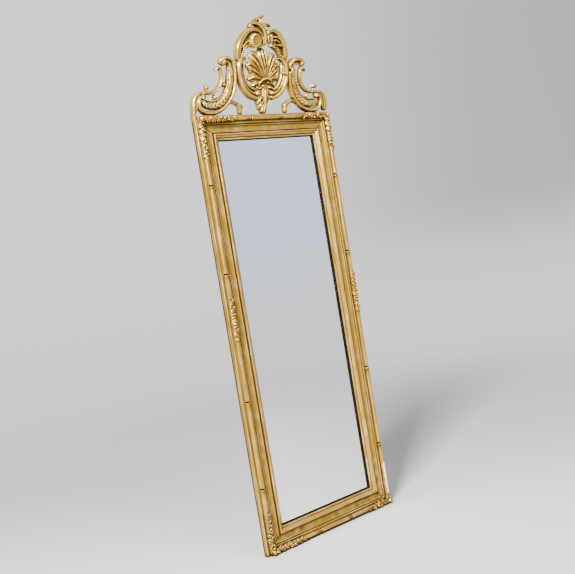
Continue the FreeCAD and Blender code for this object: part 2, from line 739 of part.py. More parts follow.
hanger_screws = []
for hand, across in (("left", -1), ("right", 1)):
    hanger_screws += hanger_plate(f"hanger_plate_{hand}", across)
    hanger_ring(f"hanger_ring_{hand}", across)
group("hanger_screws", hanger_screws)


# --------------------------------------------------------------- write each piece
doc.recompute()
for item in doc.Objects:
    if {"Invalid", "Error"} & set(item.State):
        raise RuntimeError(f"{item.Name} did not build: {item.State}")

NODES = (
    "left_stile right_stile top_rail bottom_rail corner_keys "
    "mirror_glass glass_blocks backboard_left backboard_right backboard_brads "
    "corner_ornament_top_left corner_ornament_top_right "
    "corner_ornament_bottom_left corner_ornament_bottom_right "
    "side_ornament_left side_ornament_right "
    "cartouche_left_upper cartouche_left_lower cartouche_right_upper cartouche_right_lower "
    "crest_shell crest_top_leaf crest_stem "
    "crest_outer_scroll_left crest_inner_scroll_left crest_corner_leaf_left crest_foot_left "
    "crest_outer_scroll_right crest_inner_scroll_right crest_corner_leaf_right "
    "crest_foot_right crest_strap crest_screws "
    "hanger_plate_left hanger_plate_right hanger_ring_left hanger_ring_right hanger_screws"
).split()

os.makedirs("parts", exist_ok=True)
for label in NODES:
    item = doc.getObjectsByLabel(label)[0]
    shape = item.Shape
    if shape.isNull() or not shape.isValid():
        raise RuntimeError(f"{label} has no valid shape")
    shape.exportStep(f"parts/{label}.step")
    print(f"{label:32} {len(shape.Solids):3} solids {shape.Volume / 1000:9.1f} cm3")
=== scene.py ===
"""Gilt pier mirror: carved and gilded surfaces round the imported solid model.

The row frame has +Z up and the front to -Y.  Shapes are worked out in millimetres
and become metres when they are made a mesh.  Crest pieces are drawn on the crest's
leaning back as (x, s, n): x across, s up the crest, n towards the viewer.
"""
import math

import bpy
import numpy as np
from mathutils import Matrix, Vector


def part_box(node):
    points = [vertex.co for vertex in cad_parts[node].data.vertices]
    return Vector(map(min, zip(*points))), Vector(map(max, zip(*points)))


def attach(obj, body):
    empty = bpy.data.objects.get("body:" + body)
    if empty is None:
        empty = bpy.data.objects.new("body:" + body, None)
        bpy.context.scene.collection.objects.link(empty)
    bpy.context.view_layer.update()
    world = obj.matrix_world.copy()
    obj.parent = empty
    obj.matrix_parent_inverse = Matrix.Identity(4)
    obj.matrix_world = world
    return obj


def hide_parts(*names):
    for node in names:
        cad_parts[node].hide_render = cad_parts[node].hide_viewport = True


bl_info = {
    "name": "Gilt Pier Mirror",
    "version": (1, 0, 0),
    "blender": (4, 5, 0),
    "location": "View3D > Sidebar > Pier Mirror",
    "description": "Carves and gilds a pier mirror round its solid model",
    "category": "Object",
}

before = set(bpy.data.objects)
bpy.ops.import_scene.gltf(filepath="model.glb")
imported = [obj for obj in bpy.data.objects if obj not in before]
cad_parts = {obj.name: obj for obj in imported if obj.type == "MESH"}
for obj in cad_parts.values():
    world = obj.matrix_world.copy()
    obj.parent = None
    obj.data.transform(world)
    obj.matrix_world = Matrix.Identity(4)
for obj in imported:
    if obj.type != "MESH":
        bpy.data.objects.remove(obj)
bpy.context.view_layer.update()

MM = 0.001
BODY = "mirror"
FRAME_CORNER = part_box("right_stile")[1] / MM
HALF_WIDTH = FRAME_CORNER.x
HEIGHT = FRAME_CORNER.z
BACK = FRAME_CORNER.y


# ------------------------------------------------------------------ user's settings
def length(name, description, default):
    """A length that the sidebar shows in the scene's units."""
    return bpy.props.FloatProperty(
        name=name, description=description, default=default * MM, subtype="DISTANCE",
        unit="LENGTH", precision=4)


def tint(name, description, default):
    """A colour, linear."""
    return bpy.props.FloatVectorProperty(
        name=name, description=description, default=default, subtype="COLOR", size=3,
        min=0.0, max=1.0)


class MirrorSizes(bpy.types.PropertyGroup):
    """Sizes of the moulding, the crest and the carving."""

    face_width: length("Face width", "Outer edge of the frame to the glass", 72)
    half_round: length("Half-round", "Radius of the half-round", 6.5)
    half_round_in: length("Half-round inset", "Outer edge to its middle", 12.5)
    half_round_depth: length("Half-round depth", "Back to its centre", 25)
    crest_depth: length("Crest depth", "Frame's back to the crest's back", 4)
    crest_lean: bpy.props.FloatProperty(
        name="Crest lean", description="Forward lean of the crest",
        default=math.radians(12.5), subtype="ANGLE", unit="ROTATION")


class MirrorColours(bpy.types.PropertyGroup):
    """Colours of the finishes."""

    gold: tint("Gold", "Gilding in the open", (0.35, 0.20, 0.022))
    # Pale gold is rubbed gilding in streaks and also a painted highlight on the ridges.
    pale_gold: tint("Pale gold", "Gilding where it is rubbed", (1.0, 0.75, 0.30))
    # This colour tones the hollows and is also the painted shade in creases, recesses and on
    # undersides.
    toning_and_shade: tint("Toning", "Dark toning left in the hollows", (0.055, 0.027, 0.005))
    dust: tint("Dust", "Dust on faces that look up", (0.50, 0.36, 0.22))
    gesso: tint("Gesso", "White ground where the gilding has gone", (0.96, 0.93, 0.89))
    pine: tint("Pine", "Bare wood of the back", (0.36, 0.21, 0.10))
    iron: tint("Iron", "Dark iron of the strap", (0.045, 0.040, 0.037))
    brass: tint("Brass", "Hanging rings and their plates", (0.52, 0.36, 0.13))
    # Deep shade is painted shade: the black line round the glass and the tie cuts.
    deep_shade: tint("Lip", "Black line round the glass", (0.004, 0.003, 0.002))
    silver: tint("Silvering", "Reflection of the glass", (0.865, 0.888, 0.920))
    warm_silver: tint("Warm silvering", "Yellowed streaks", (0.86, 0.835, 0.765))
    clouded_silver: tint("Clouded silvering", "Blotches", (0.80, 0.83, 0.85))
    # A painted reflection: the colour of the glass low down.
    painted_low_reflection: tint("Low silvering", "Duller reflection low down", (0.76, 0.75, 0.735))
    backing: tint("Backing", "Paint on the back of the glass", (0.045, 0.036, 0.03))
    stain: tint("Stain", "Stains on the bare wood", (0.10, 0.055, 0.028))
    rust: tint("Rust", "Tarnish of the iron", (0.09, 0.05, 0.03))
    steel: tint("Steel", "Screws and brads", (0.30, 0.29, 0.28))
    dull_steel: tint("Dull steel", "Tarnish of the steel", (0.12, 0.10, 0.08))
    dull_brass: tint("Dull brass", "Tarnish of the brass", (0.22, 0.14, 0.05))
    floor: tint("Floor", "Floor of the room", (0.455, 0.451, 0.447))


# --------------------------------------------------------------------- shader maths
class Value:
    """A number on a shader socket; an expression on it adds Math nodes."""

    def __init__(self, nodes, socket):
        self.nodes = nodes
        self.socket = socket

    def maths(self, operation, *others, clamp=False):
        """One Math node on this value and the others."""
        sockets = {index: other for index, other in enumerate((self, *others))}
        return self.nodes.node(
            "ShaderNodeMath", {"operation": operation, "use_clamp": clamp}, sockets)

    def __add__(self, other):
        return self.maths("ADD", other)

    __radd__ = __add__

    def __mul__(self, other):
        return self.maths("MULTIPLY", other)

    __rmul__ = __mul__

    def __sub__(self, other):
        return self.maths("SUBTRACT", other)

    def __rsub__(self, other):
        return self.nodes.node("ShaderNodeMath", {"operation": "SUBTRACT"}, {0: other, 1: self})

    def __pow__(self, other):
        return self.maths("POWER", other)

    def clamped(self):
        """This value kept from 0 to 1."""
        return self.maths("ADD", 0.0, clamp=True)

    def stepped(self, low, high):
        """0 below low, 1 above high, smooth between."""
        return self.nodes.node(
            "ShaderNodeMapRange", {"interpolation_type": "SMOOTHSTEP"},
            {"Value": self, "From Min": low, "From Max": high})


class Nodes:
    """The nodes of a material or a world, empty at first."""

    def __init__(self, owner):
        owner.use_nodes = True
        self.tree = owner.node_tree
        self.tree.nodes.clear()

    def node(self, kind, settings=None, inputs=None, output=0):
        """Add a node: its settings first, then its sockets; give back one output."""
        node = self.tree.nodes.new(kind)
        for name, setting in (settings or {}).items():
            setattr(node, name, setting)
        for name, given in (inputs or {}).items():
            socket = node.inputs[name]
            if isinstance(given, Value):
                self.tree.links.new(given.socket, socket)
            elif hasattr(socket.default_value, "__len__"):
                size = len(socket.default_value)
                socket.default_value = (*given, 1.0)[:size]
            else:
                socket.default_value = given
        return Value(self, node.outputs[output]) if node.outputs else None

    def mixed(self, amount, first, second):
        """A colour between two others."""
        return self.node(
            "ShaderNodeMix", {"data_type": "RGBA", "clamp_factor": True},
            {0: amount, 6: first, 7: second}, 2)


class Finish(Nodes):
    """A material and the nodes that make it."""

    def __init__(self, name):
        self.material = bpy.data.materials.new(name)
        super().__init__(self.material)
        self.place = self.node("ShaderNodeTexCoord", output="Object")

    def noise(self, size, where=None, detail=2.0, roughness=0.5, distortion=0.0):
        """Noise from 0 to 1 whose blotches are about that many metres across."""
        return self.node(
            "ShaderNodeTexNoise", {"noise_dimensions": "3D"},
            {"Vector": where or self.place, "Scale": 1.0 / size, "Detail": detail,
             "Roughness": roughness, "Distortion": distortion}, "Fac")

    def stretched(self, where, scale):
        """Coordinates scaled by a different amount along each axis."""
        return self.node("ShaderNodeMapping", {"vector_type": "POINT"},
                         {"Vector": where, "Scale": scale})

    def attribute(self, name, output="Fac"):
        """A piece's own attribute."""
        return self.node("ShaderNodeAttribute", {"attribute_name": name}, output=output)

    def part_of_place(self, axis):
        """X, Y or Z of the place, in metres."""
        return self.node("ShaderNodeSeparateXYZ", inputs={0: self.place}, output=axis)

    def facing(self, axis):
        """1 where the surface faces along X, Y or Z, -1 where it faces the other way."""
        normal = self.node("ShaderNodeNewGeometry", output="Normal")
        return self.node("ShaderNodeSeparateXYZ", inputs={0: normal}, output=axis)

    def bumped(self, height, strength, distance):
        """A normal roughened by a height, which counts in metres of distance."""
        return self.node("ShaderNodeBump",
                         inputs={"Height": height, "Strength": strength, "Distance": distance},
                         output="Normal")

    def finished(self, **sockets):
        """Principled shader on the output; underscores stand for spaces."""
        inputs = {name.replace("_", " "): given for name, given in sockets.items()}
        shader = self.node("ShaderNodeBsdfPrincipled", inputs=inputs)
        self.node("ShaderNodeOutputMaterial", inputs={"Surface": shader})
        return self.material


def shaded(colour, share):
    """A colour with each part cut down to a share of itself."""
    return tuple(share * part for part in colour)


def gilding(colours):
    """Worn pale gilding over gesso, toned dark in the hollows, with painted shade and painted
    highlights.
    """
    finish = Finish("worn_gilding")
    hollow = finish.attribute("hollow")
    lay = finish.attribute("lay", "Vector")
    cloud = finish.noise(0.045, detail=3.0)
    speckle = finish.noise(0.0022, detail=3.0, roughness=0.65)
    fine = finish.noise(1.0, finish.stretched(lay, (0.012, 0.7, 1.0)), detail=3.0)
    broad = finish.noise(1.0, finish.stretched(lay, (0.007, 0.27, 1.0)), detail=2.0)
    strokes = fine * 0.45 + broad * 0.55
    # Ambient occlusion: what it finds in creases and recesses is darkened, painted shade.
    unoccluded = finish.node(
        "ShaderNodeAmbientOcclusion", {"samples": 8, "only_local": False},
        {"Distance": 0.02}, "AO")

    up = finish.part_of_place("Z")
    upward = finish.facing("Z")
    # Faces that look down are darkened: painted shade on the undersides.
    under = (0.0 - upward).stepped(0.1, 0.95)
    dust = upward.stepped(0.4, 0.95) * (0.1 + cloud * 0.2)
    # Toning in the hollows, painted shade from the occlusion, the undersides and each piece's
    # added shade, random tone and streaks, and darker towards the bottom.
    toning_and_shade_mask = (hollow * 1.8 + (1.0 - unoccluded) * 2.0 + under * 1.1 + (cloud - 0.5) * 0.4
             + (strokes - 0.5) * 3.4 + (0.45 - up).clamped() * 0.6)
    toning_and_shade_mask = toning_and_shade_mask.stepped(0.05, 1.25)
    # Paler in rubbed streaks at random, and on ridges as a painted highlight.
    rubbed_and_highlit = ((strokes - 0.44) * 3.3 + (cloud - 0.5) * 0.9 - hollow * 0.35
              - hollow.clamped() * 0.8)
    rubbed_and_highlit = rubbed_and_highlit.stepped(0.05, 1.1)
    colour = finish.mixed(rubbed_and_highlit, colours.gold, colours.pale_gold)
    colour = finish.mixed(dust, colour, colours.dust)
    colour = finish.mixed(toning_and_shade_mask, colour, colours.toning_and_shade)

    east = finish.part_of_place("X")
    ragged = (speckle - 0.5) * 0.006 + (cloud - 0.5) * 0.018
    lost_edge = (east + ragged + (up - 0.134) * 0.012).stepped(0.2329, 0.2337)
    lost_from = (up + ragged * 2.0).stepped(0.034, 0.037)
    lost_to = (up + ragged * 3.0).stepped(0.128, 0.134)
    lost_front = (0.022 - finish.part_of_place("Y") + ragged * 1.5).stepped(0.0, 0.001)
    gesso = lost_edge * lost_front * lost_from * (1.0 - lost_to)
    chips = finish.noise(0.012, detail=4.0, roughness=0.7).stepped(0.735, 0.75)
    gesso = (gesso + chips * (0.0 - hollow).stepped(0.05, 0.3)).clamped()
    colour = finish.mixed(gesso, colour, colours.gesso)

    # Black where the added shade runs highest, as on the sight edge and in the tie cuts: painted
    # shade.
    black_shade = hollow.stepped(1.3, 1.8)
    colour = finish.mixed(black_shade, colour, colours.deep_shade)
    back = finish.facing("Y").stepped(0.75, 0.9)
    wood = finish.mixed(strokes.stepped(0.35, 0.7), colours.pine, shaded(colours.pine, 0.5))
    colour = finish.mixed(back, colour, wood)
    relief = strokes * 0.55 + speckle * 0.45
    return finish.finished(
        Base_Color=colour, Specular_IOR_Level=0.02,
        Metallic=((0.80 - toning_and_shade_mask * 0.3 - dust * 0.5) * (1.0 - gesso) * (1.0 - black_shade)
                  * (1.0 - back)),
        Roughness=(0.33 + (speckle - 0.5) * 0.25 + toning_and_shade_mask * 0.2 - rubbed_and_highlit * 0.08
                   + (gesso + black_shade + back) * 0.5).clamped(),
        Normal=finish.bumped(relief, 0.35, 0.0006))


def silvered_glass(colours):
    """Old silvered plate: clear reflection, faintly clouded and tinted, with a painted reflection
    low down.
    """
    finish = Finish("old_silvering")
    cloud = finish.noise(0.35, finish.stretched(finish.place, (1.6, 1.0, 0.8)), detail=3.0)
    streak = finish.noise(0.22, finish.stretched(finish.place, (0.7, 1.0, 3.0)), detail=4.0)
    # Warmer and duller towards the bottom: a painted reflection.
    low = (0.9 - finish.part_of_place("Z")).stepped(0.1, 0.85)
    warm = finish.mixed(streak.stepped(0.48, 0.68) * (0.55 + low * 0.3), colours.silver,
                        colours.warm_silver)
    colour = finish.mixed(cloud.stepped(0.42, 0.70) * 0.75, warm, colours.clouded_silver)
    colour = finish.mixed(low * 0.4, colour, colours.painted_low_reflection)
    back = finish.facing("Y").stepped(0.4, 0.6)
    return finish.finished(
        Base_Color=finish.mixed(back, colour, colours.backing), Metallic=1.0 - back,
        Roughness=0.02 + cloud * 0.03 + back * 0.6,
        Normal=finish.bumped(finish.noise(0.25), 0.04, 0.002))


def pine_board(colours):
    """Bare aged softwood, its grain upright."""
    finish = Finish("bare_pine")
    wander = finish.stretched(finish.place, (1.0, 1.0, 0.09))
    grain = finish.node(
        "ShaderNodeTexWave", {"wave_type": "BANDS", "bands_direction": "X"},
        {"Vector": wander, "Scale": 38.0, "Distortion": 7.0, "Detail": 3.0,
         "Detail Scale": 1.5}, "Fac")
    fibre = finish.noise(0.0016, finish.stretched(finish.place, (1.0, 1.0, 0.03)))
    stain = finish.noise(0.12, detail=3.0)
    dark = shaded(colours.pine, 0.45)
    colour = finish.mixed(grain * 0.55 + fibre * 0.25, colours.pine, dark)
    colour = finish.mixed((stain - 0.35).clamped(), colour, colours.stain)
    return finish.finished(
        Base_Color=colour, Roughness=0.72 + fibre * 0.2,
        Normal=finish.bumped(grain * 0.4 + fibre * 0.6, 0.4, 0.0006))


def aged_metal(name, colour, shade, metallic, rough):
    """Metal with tarnish in blotches and fine wear."""
    finish = Finish(name)
    blotch = finish.noise(0.006, detail=4.0, roughness=0.6)
    scratch = finish.noise(0.0008, finish.stretched(finish.place, (1.0, 1.0, 0.15)))
    return finish.finished(
        Base_Color=finish.mixed(blotch.stepped(0.35, 0.7), colour, shade), Metallic=metallic,
        Roughness=rough + (blotch - 0.5) * 0.3 + (scratch - 0.5) * 0.15,
        Normal=finish.bumped(blotch + scratch * 0.4, 0.3, 0.0003))


# ------------------------------------------------------------------ lines and shells
def smooth_line(rows, count, ends=0.6):
    """Smooth line through rows of numbers; the first two columns are a place.

    Between neighbours it is the cubic whose slope at each row is the mean slope round
    it.  The steps are shorter towards both ends, more so as ends goes to 1.
    """
    rows = np.asarray(rows, float)
    chord = np.append(0.0, np.cumsum(np.linalg.norm(np.diff(rows[:, :2], axis=0), axis=1)))
    slope = np.gradient(rows, chord, axis=0)
    part = np.linspace(0.0, 1.0, count)
    eased = 0.5 - 0.5 * np.cos(np.pi * part)
    at = chord[-1] * (part + ends * (eased - part))
    left = np.clip(np.searchsorted(chord, at, side="right") - 1, 0, len(rows) - 2)
    span = (chord[left + 1] - chord[left])[:, None]
    t = (at - chord[left])[:, None] / span
    line = ((2 * t**3 - 3 * t**2 + 1) * rows[left] + (3 * t**2 - 2 * t**3) * rows[left + 1]
            + (t**3 - 2 * t**2 + t) * span * slope[left]
            + (t**3 - t**2) * span * slope[left + 1])
    return line, at


def unevenness(points, size, seed):
    """Gentle waves in all directions, about -1 to 1, that size in millimetres."""
    random = np.random.default_rng(seed)
    waves = random.normal(size=(6, 3))
    waves *= 2 * np.pi / (size * np.linalg.norm(waves, axis=1, keepdims=True))
    phase = random.uniform(0, 2 * np.pi, 6)
    return np.sin(points @ waves.T + phase).sum(-1) / 3.0


def shell_normals(grid):
    """Normal at each point of a shell: the cross product of its two directions."""
    along = np.gradient(grid, axis=0)
    around = np.roll(grid, -1, axis=1) - np.roll(grid, 1, axis=1)
    normal = np.cross(along, around)
    return normal / np.maximum(np.linalg.norm(normal, axis=-1, keepdims=True), 1e-9)


def hollowness(grid, normal):
    """How far a point lies below points about 1.5 mm away; below zero on a ridge."""
    rows = np.arange(len(grid))
    near = 0.0
    for step in (1, 2, 3):
        near = near + (np.roll(grid, step, axis=1) + np.roll(grid, -step, axis=1)
                       + grid[np.minimum(rows + step, len(grid) - 1)]
                       + grid[np.maximum(rows - step, 0)])
    drop = ((near / 12.0 - grid) * normal).sum(-1)
    return np.clip(drop / 0.8, -1.0, 1.0)


class Carving:
    """Closed shells that become one mesh.

    A shell is a grid of points in millimetres: its rows run along it, its columns go
    right round it, and each end closes on its own middle point.
    """

    def __init__(self):
        self.points, self.faces, self.fans = [], [], []
        self.hollow, self.lay = [], []
        self.count = 0

    def add(self, grid, uneven=0.0, seed=1, soiled=0.0):
        """Add a shell, turned so that its faces point outwards; soiled adds painted shade."""
        if uneven:
            grid = grid + (shell_normals(grid)
                           * (uneven * unevenness(grid, 14.0, seed))[..., None])
        rows, around = grid.shape[:2]
        index = np.arange(rows * around).reshape(rows, around) + self.count
        beside = np.roll(index, -1, axis=1)
        faces = np.stack((index[:-1], beside[:-1], beside[1:], index[1:]), -1).reshape(-1, 4)
        first = np.full(around, self.count + rows * around)
        fans = np.concatenate((np.stack((first, beside[0], index[0]), -1),
                               np.stack((first + 1, index[-1], beside[-1]), -1)))
        points = np.concatenate((grid.reshape(-1, 3), grid[:1].mean(1), grid[-1:].mean(1)))

        local = faces - self.count
        one, two, three, four = (points[local[:, corner]] for corner in range(4))
        volume = (np.cross(one, two) * three + np.cross(one, three) * four).sum()
        normal = shell_normals(grid)
        if volume < 0:
            faces = faces[:, ::-1]
            fans = fans[:, ::-1]
        else:
            normal = -normal
        if (normal * (grid - grid.mean((0, 1)))).sum() < 0:
            normal = -normal
        # The added shade is painted shade laid on the hollowness.
        hollow = hollowness(grid, normal) + soiled

        steps = np.linalg.norm(np.diff(grid, axis=0), axis=-1).max(1)
        turns = np.linalg.norm(grid - np.roll(grid, 1, axis=1), axis=-1).mean(0)
        lay = np.zeros(grid.shape)
        lay[..., 0] = np.append(0.0, np.cumsum(steps))[:, None]
        lay[..., 1] = np.cumsum(turns)[None, :]
        lay[..., 2] = 40.0 * len(self.points)
        self.points.append(points)
        self.faces.append(faces)
        self.fans.append(fans)
        self.hollow.append(np.append(hollow.ravel(), (0.0, 0.0)))
        self.lay.append(np.concatenate((lay.reshape(-1, 3), lay[0, :1], lay[-1, :1])))
        self.count += len(points)
        return self

    def make(self, name, material, *nodes, slot="gilt"):
        """One smooth mesh object, riding on the mirror in place of its CAD nodes."""
        points = np.concatenate(self.points) * MM
        faces = np.concatenate(self.faces)
        fans = np.concatenate(self.fans)
        corners = np.concatenate((faces.ravel(), fans.ravel()))
        sides = np.append(np.full(len(faces), 4), np.full(len(fans), 3))
        mesh = bpy.data.meshes.new(name)
        mesh.vertices.add(len(points))
        mesh.vertices.foreach_set("co", points.astype(np.float32).ravel())
        mesh.loops.add(len(corners))
        mesh.loops.foreach_set("vertex_index", corners.astype(np.int32))
        mesh.polygons.add(len(sides))
        mesh.polygons.foreach_set(
            "loop_start", np.append(0, np.cumsum(sides)[:-1]).astype(np.int32))
        mesh.update(calc_edges=True)
        hollow = mesh.attributes.new("hollow", "FLOAT", "POINT")
        hollow.data.foreach_set("value", np.concatenate(self.hollow).astype(np.float32))
        lay = mesh.attributes.new("lay", "FLOAT_VECTOR", "POINT")
        lay.data.foreach_set("vector", np.concatenate(self.lay).astype(np.float32).ravel())
        mesh.shade_smooth()
        mesh.materials.append(material)
        piece = bpy.data.objects.new(name, mesh)
        bpy.context.scene.collection.objects.link(piece)
        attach(piece, BODY)
        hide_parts(*nodes)
        return piece


# ---------------------------------------------------------------- moulded frame
TIES = {
    "left_stile": (1060, 810, 447, 196),
    "right_stile": (1060, 818, 447, 201),
    "top_rail": (-60, 60),
    "bottom_rail": (-53, 74),
}


# Painted shade along the moulding, lighter where the amount is below zero: distance from the outer
# edge, width, amount.
SHADE_LINES = ((50.6, 1.5, 0.9), (64.3, 0.8, 1.1), (67.0, 1.3, -0.6), (60.6, 1.6, -0.6))


def arc(start, middle, end, count):
    """Points of the arc from start through middle to end."""
    (ax, ay), (bx, by), (cx, cy) = start, middle, end
    twice = 2 * (ax * (by - cy) + bx * (cy - ay) + cx * (ay - by))
    a, b, c = (x * x + y * y for x, y in (start, middle, end))
    x = (a * (by - cy) + b * (cy - ay) + c * (ay - by)) / twice
    y = (a * (cx - bx) + b * (ax - cx) + c * (bx - ax)) / twice
    from_angle = math.atan2(ay - y, ax - x)
    through = (math.atan2(by - y, bx - x) - from_angle) % (2 * math.pi)
    turn = (math.atan2(cy - y, cx - x) - from_angle) % (2 * math.pi)
    if through > turn:
        turn -= 2 * math.pi
    angle = from_angle + turn * np.linspace(0, 1, count)
    radius = math.hypot(ax - x, ay - y)
    return np.stack((x + radius * np.cos(angle), y + radius * np.sin(angle)), -1)


def moulding_section(sizes):
    """Outline of the moulding as (distance from the outer edge, depth), closed.

    Straight flats and arcs, put into even steps and rounded a little by averaging
    each point with its neighbours.  The gesso stands a little proud of the outer edge.
    """
    width = sizes.face_width / MM
    middle = sizes.half_round_in / MM
    depth = sizes.half_round_depth / MM
    radius = sizes.half_round / MM
    runs = np.concatenate((
        ((0, 0), (0, 17)),
        arc((0, 17), (0.6, 18.4), (2, 19), 6),
        ((middle - radius - 1.5, 19), (middle - radius, 20)),
        arc((middle - radius, depth), (middle, depth + radius), (middle + radius, depth), 30),
        ((middle + radius, 22.2), (25.2, 22.4), (26.8, 18.3), (28.4, 18), (29.6, 21)),
        arc((30, 21.2), (40.2, 16.5), (48.6, 19.5), 24),
        ((49.4, 16), (52.0, 16)),
        arc((52.4, 23), (55, 25.5), (57.5, 24), 10),
        ((57.8, 22.6), (58.6, 22.4), (63.6, 18), (64.4, 16.8)),
        ((width - 1.2, 12.6), (width, 11.6), (width, 6.4), (width - 8, 6.4), (width - 8, 0)),
    ))
    closed = np.concatenate((runs, runs[:1]))
    travelled = np.append(0.0, np.cumsum(np.linalg.norm(np.diff(closed, axis=0), axis=1)))
    at = np.linspace(0, travelled[-1], 300, endpoint=False)
    section = np.stack([np.interp(at, travelled, closed[:, axis]) for axis in (0, 1)], -1)
    section = (np.roll(section, 1, axis=0) + 2 * section + np.roll(section, -1, axis=0)) / 4
    section[:, 0] -= 0.25 * (section[:, 0] < 0.5)
    return section


def in_frame(member, inward, depth, along):
    """Row-frame points of a member from its own measures."""
    y = BACK - depth
    if member == "right_stile":
        parts = (HALF_WIDTH - inward, y, along)
    elif member == "left_stile":
        parts = (inward - HALF_WIDTH, y, along)
    elif member == "top_rail":
        parts = (along, y, HEIGHT - inward)
    else:
        parts = (along, y, inward)
    return np.stack(np.broadcast_arrays(*parts), -1)


def member_stations(low, high, ties):
    """Places along a member: about every 7 mm, and every 0.5 mm across a tie."""
    coarse = np.linspace(low, high, round((high - low) / 7.0))
    fine = [tie + np.arange(-5.0, 5.1, 0.5) for tie in ties]
    for cuts in fine:
        coarse = coarse[(coarse < cuts[0] - 1) | (coarse > cuts[-1] + 1)]
    return np.sort(np.concatenate([coarse, *fine]))


def moulded_member(member, sizes):
    """A mitred member: the section carried along a straight line.

    Near each end the stations are drawn in so that the last lies on the mitre.  A tie
    is a narrow cut across the half-round with a slightly swollen band below it.
    """
    upright = member.endswith("stile")
    low, high = (0.0, HEIGHT) if upright else (-HALF_WIDTH, HALF_WIDTH)
    middle, half = (low + high) / 2, (high - low) / 2
    section = moulding_section(sizes)
    inward, depth = section[None, :, 0], section[None, :, 1]
    station = member_stations(low, high, TIES[member])[:, None] - middle
    straight = half - sizes.face_width / MM - 8
    reach = (half - inward - straight) / (half - straight)
    past = np.maximum(np.abs(station) - straight, 0.0)
    along = np.sign(station) * (np.minimum(np.abs(station), straight) + past * reach)
    along = along + middle

    centre = sizes.half_round_in / MM
    from_centre = np.hypot(inward - centre, depth - sizes.half_round_depth / MM)
    on_round = np.exp(-((from_centre - sizes.half_round / MM) / 0.8) ** 2)
    on_round = on_round * (depth > 21)
    swell, painted_shade = 0.0, 0.0
    for tie in TIES[member]:
        slant = along - tie + 0.10 * (inward - centre)
        cut = np.exp(-(slant / 2.1) ** 4)
        swell = swell - 3.1 * cut + 1.2 * np.exp(-((slant + 3.8) / 1.4) ** 2)
        # Painted shade in the tie's cut.
        painted_shade = painted_shade + 2.4 * cut * on_round
    out_x = (inward - centre) / np.maximum(from_centre, 1.0)
    out_y = (depth - sizes.half_round_depth / MM) / np.maximum(from_centre, 1.0)
    grid = in_frame(member, inward + swell * on_round * out_x,
                    depth + swell * on_round * out_y, along)
    wave = unevenness(grid, 90.0, len(member)) * 0.22 + unevenness(grid, 23.0, 5) * 0.10
    front = np.clip((depth - 8.0) / 8.0, 0, 1) * np.clip(inward / 6.0, 0, 1)
    grid[..., 1] += wave * front
    # Painted black shade on the last 1.9 mm of the sight edge.
    painted_shade = painted_shade + 2.8 * ((inward > sizes.face_width / MM - 1.9) & (depth > 5.5))
    for place, spread, amount in SHADE_LINES:
        painted_shade = painted_shade + amount * np.exp(-((inward - place) / spread) ** 2) * (depth > 12)
    # Painted shade on the outer side near the back.
    painted_shade = painted_shade + 0.7 * ((inward < 0.5) & (depth < 7.0))
    return Carving().add(grid, soiled=painted_shade)


# -------------------------------------------------------------------- garlands
def on_half_round(member, along, across, height, sizes):
    """Row-frame points from a place along a member, across its half-round and above it.

    Across is measured round the curve, so it turns into an angle about the centre.
    """
    radius = sizes.half_round / MM
    angle = across / (radius + 1.0)
    inward = sizes.half_round_in / MM + (radius + height) * np.sin(angle)
    depth = sizes.half_round_depth / MM + (radius + height) * np.cos(angle)
    return in_frame(member, inward, depth, along)


def blade(carving, place, heading, size, sizes, width=0.36, lift=0.30):
    """Add a small leaf: a pointed oval with a sunk rib and a lifted tip, closed below.

    Rows run from stalk to tip; across, the upper side is an arch with a dip in the
    middle, and the lower side is flat.
    """
    member, along, across = place
    run = np.linspace(0, 1, 13)[:, None]
    turn = np.linspace(0, 2 * np.pi, 17)[None, :-1]
    half = width * size * np.sin(np.pi * np.clip(run, 0.03, 0.985) ** 0.75) ** 0.9
    aside = -np.cos(turn) * half
    arch = np.maximum(np.sin(turn), 0.0)
    rib = 1 - 0.5 * np.exp(-(np.cos(turn) / 0.25) ** 2) * arch
    rise = 1.0 + size * (0.14 * np.sin(np.pi * run) + lift * run**1.5)
    height = -0.8 + (rise + 0.8) * arch**0.7 * rib
    forward = run * size
    cos, sin = math.cos(heading), math.sin(heading)
    grid = on_half_round(member, along + forward * cos - aside * sin,
                         across + forward * sin + aside * cos, height, sizes)
    # Painted shade, most on the flat underside and the edges of the leaf.
    carving.add(grid, soiled=0.62 + 0.85 * (1 - arch))


def berry(place, radius, sizes, tall=1.0):
    """A ball set into the half-round, closed at its two ends along the member."""
    member, along, across = place
    polar = np.linspace(0.05, np.pi - 0.05, 11)[:, None]
    turn = np.linspace(0, 2 * np.pi, 15)[None, :-1]
    return on_half_round(
        member, along + radius * np.cos(polar), across + radius * np.sin(polar) * np.cos(turn),
        radius * tall * (np.sin(polar) * np.sin(turn) + 0.4), sizes)


def blossom(carving, place, size, sizes, seed):
    """Petals round a middle, each a short broad leaf with its tip up."""
    member, along, across = place
    start = np.random.default_rng(seed).uniform(0, 2 * math.pi)
    for petal in range(5):
        heading = start + petal * 2 * math.pi / 5
        root = (member, along + 0.12 * size * math.cos(heading),
                across + 0.12 * size * math.sin(heading))
        blade(carving, root, heading, size * 0.5, sizes, width=0.44, lift=0.35)
    # The middle berry gets painted shade.
    carving.add(berry(place, size * 0.15, sizes, tall=1.7), soiled=0.6)


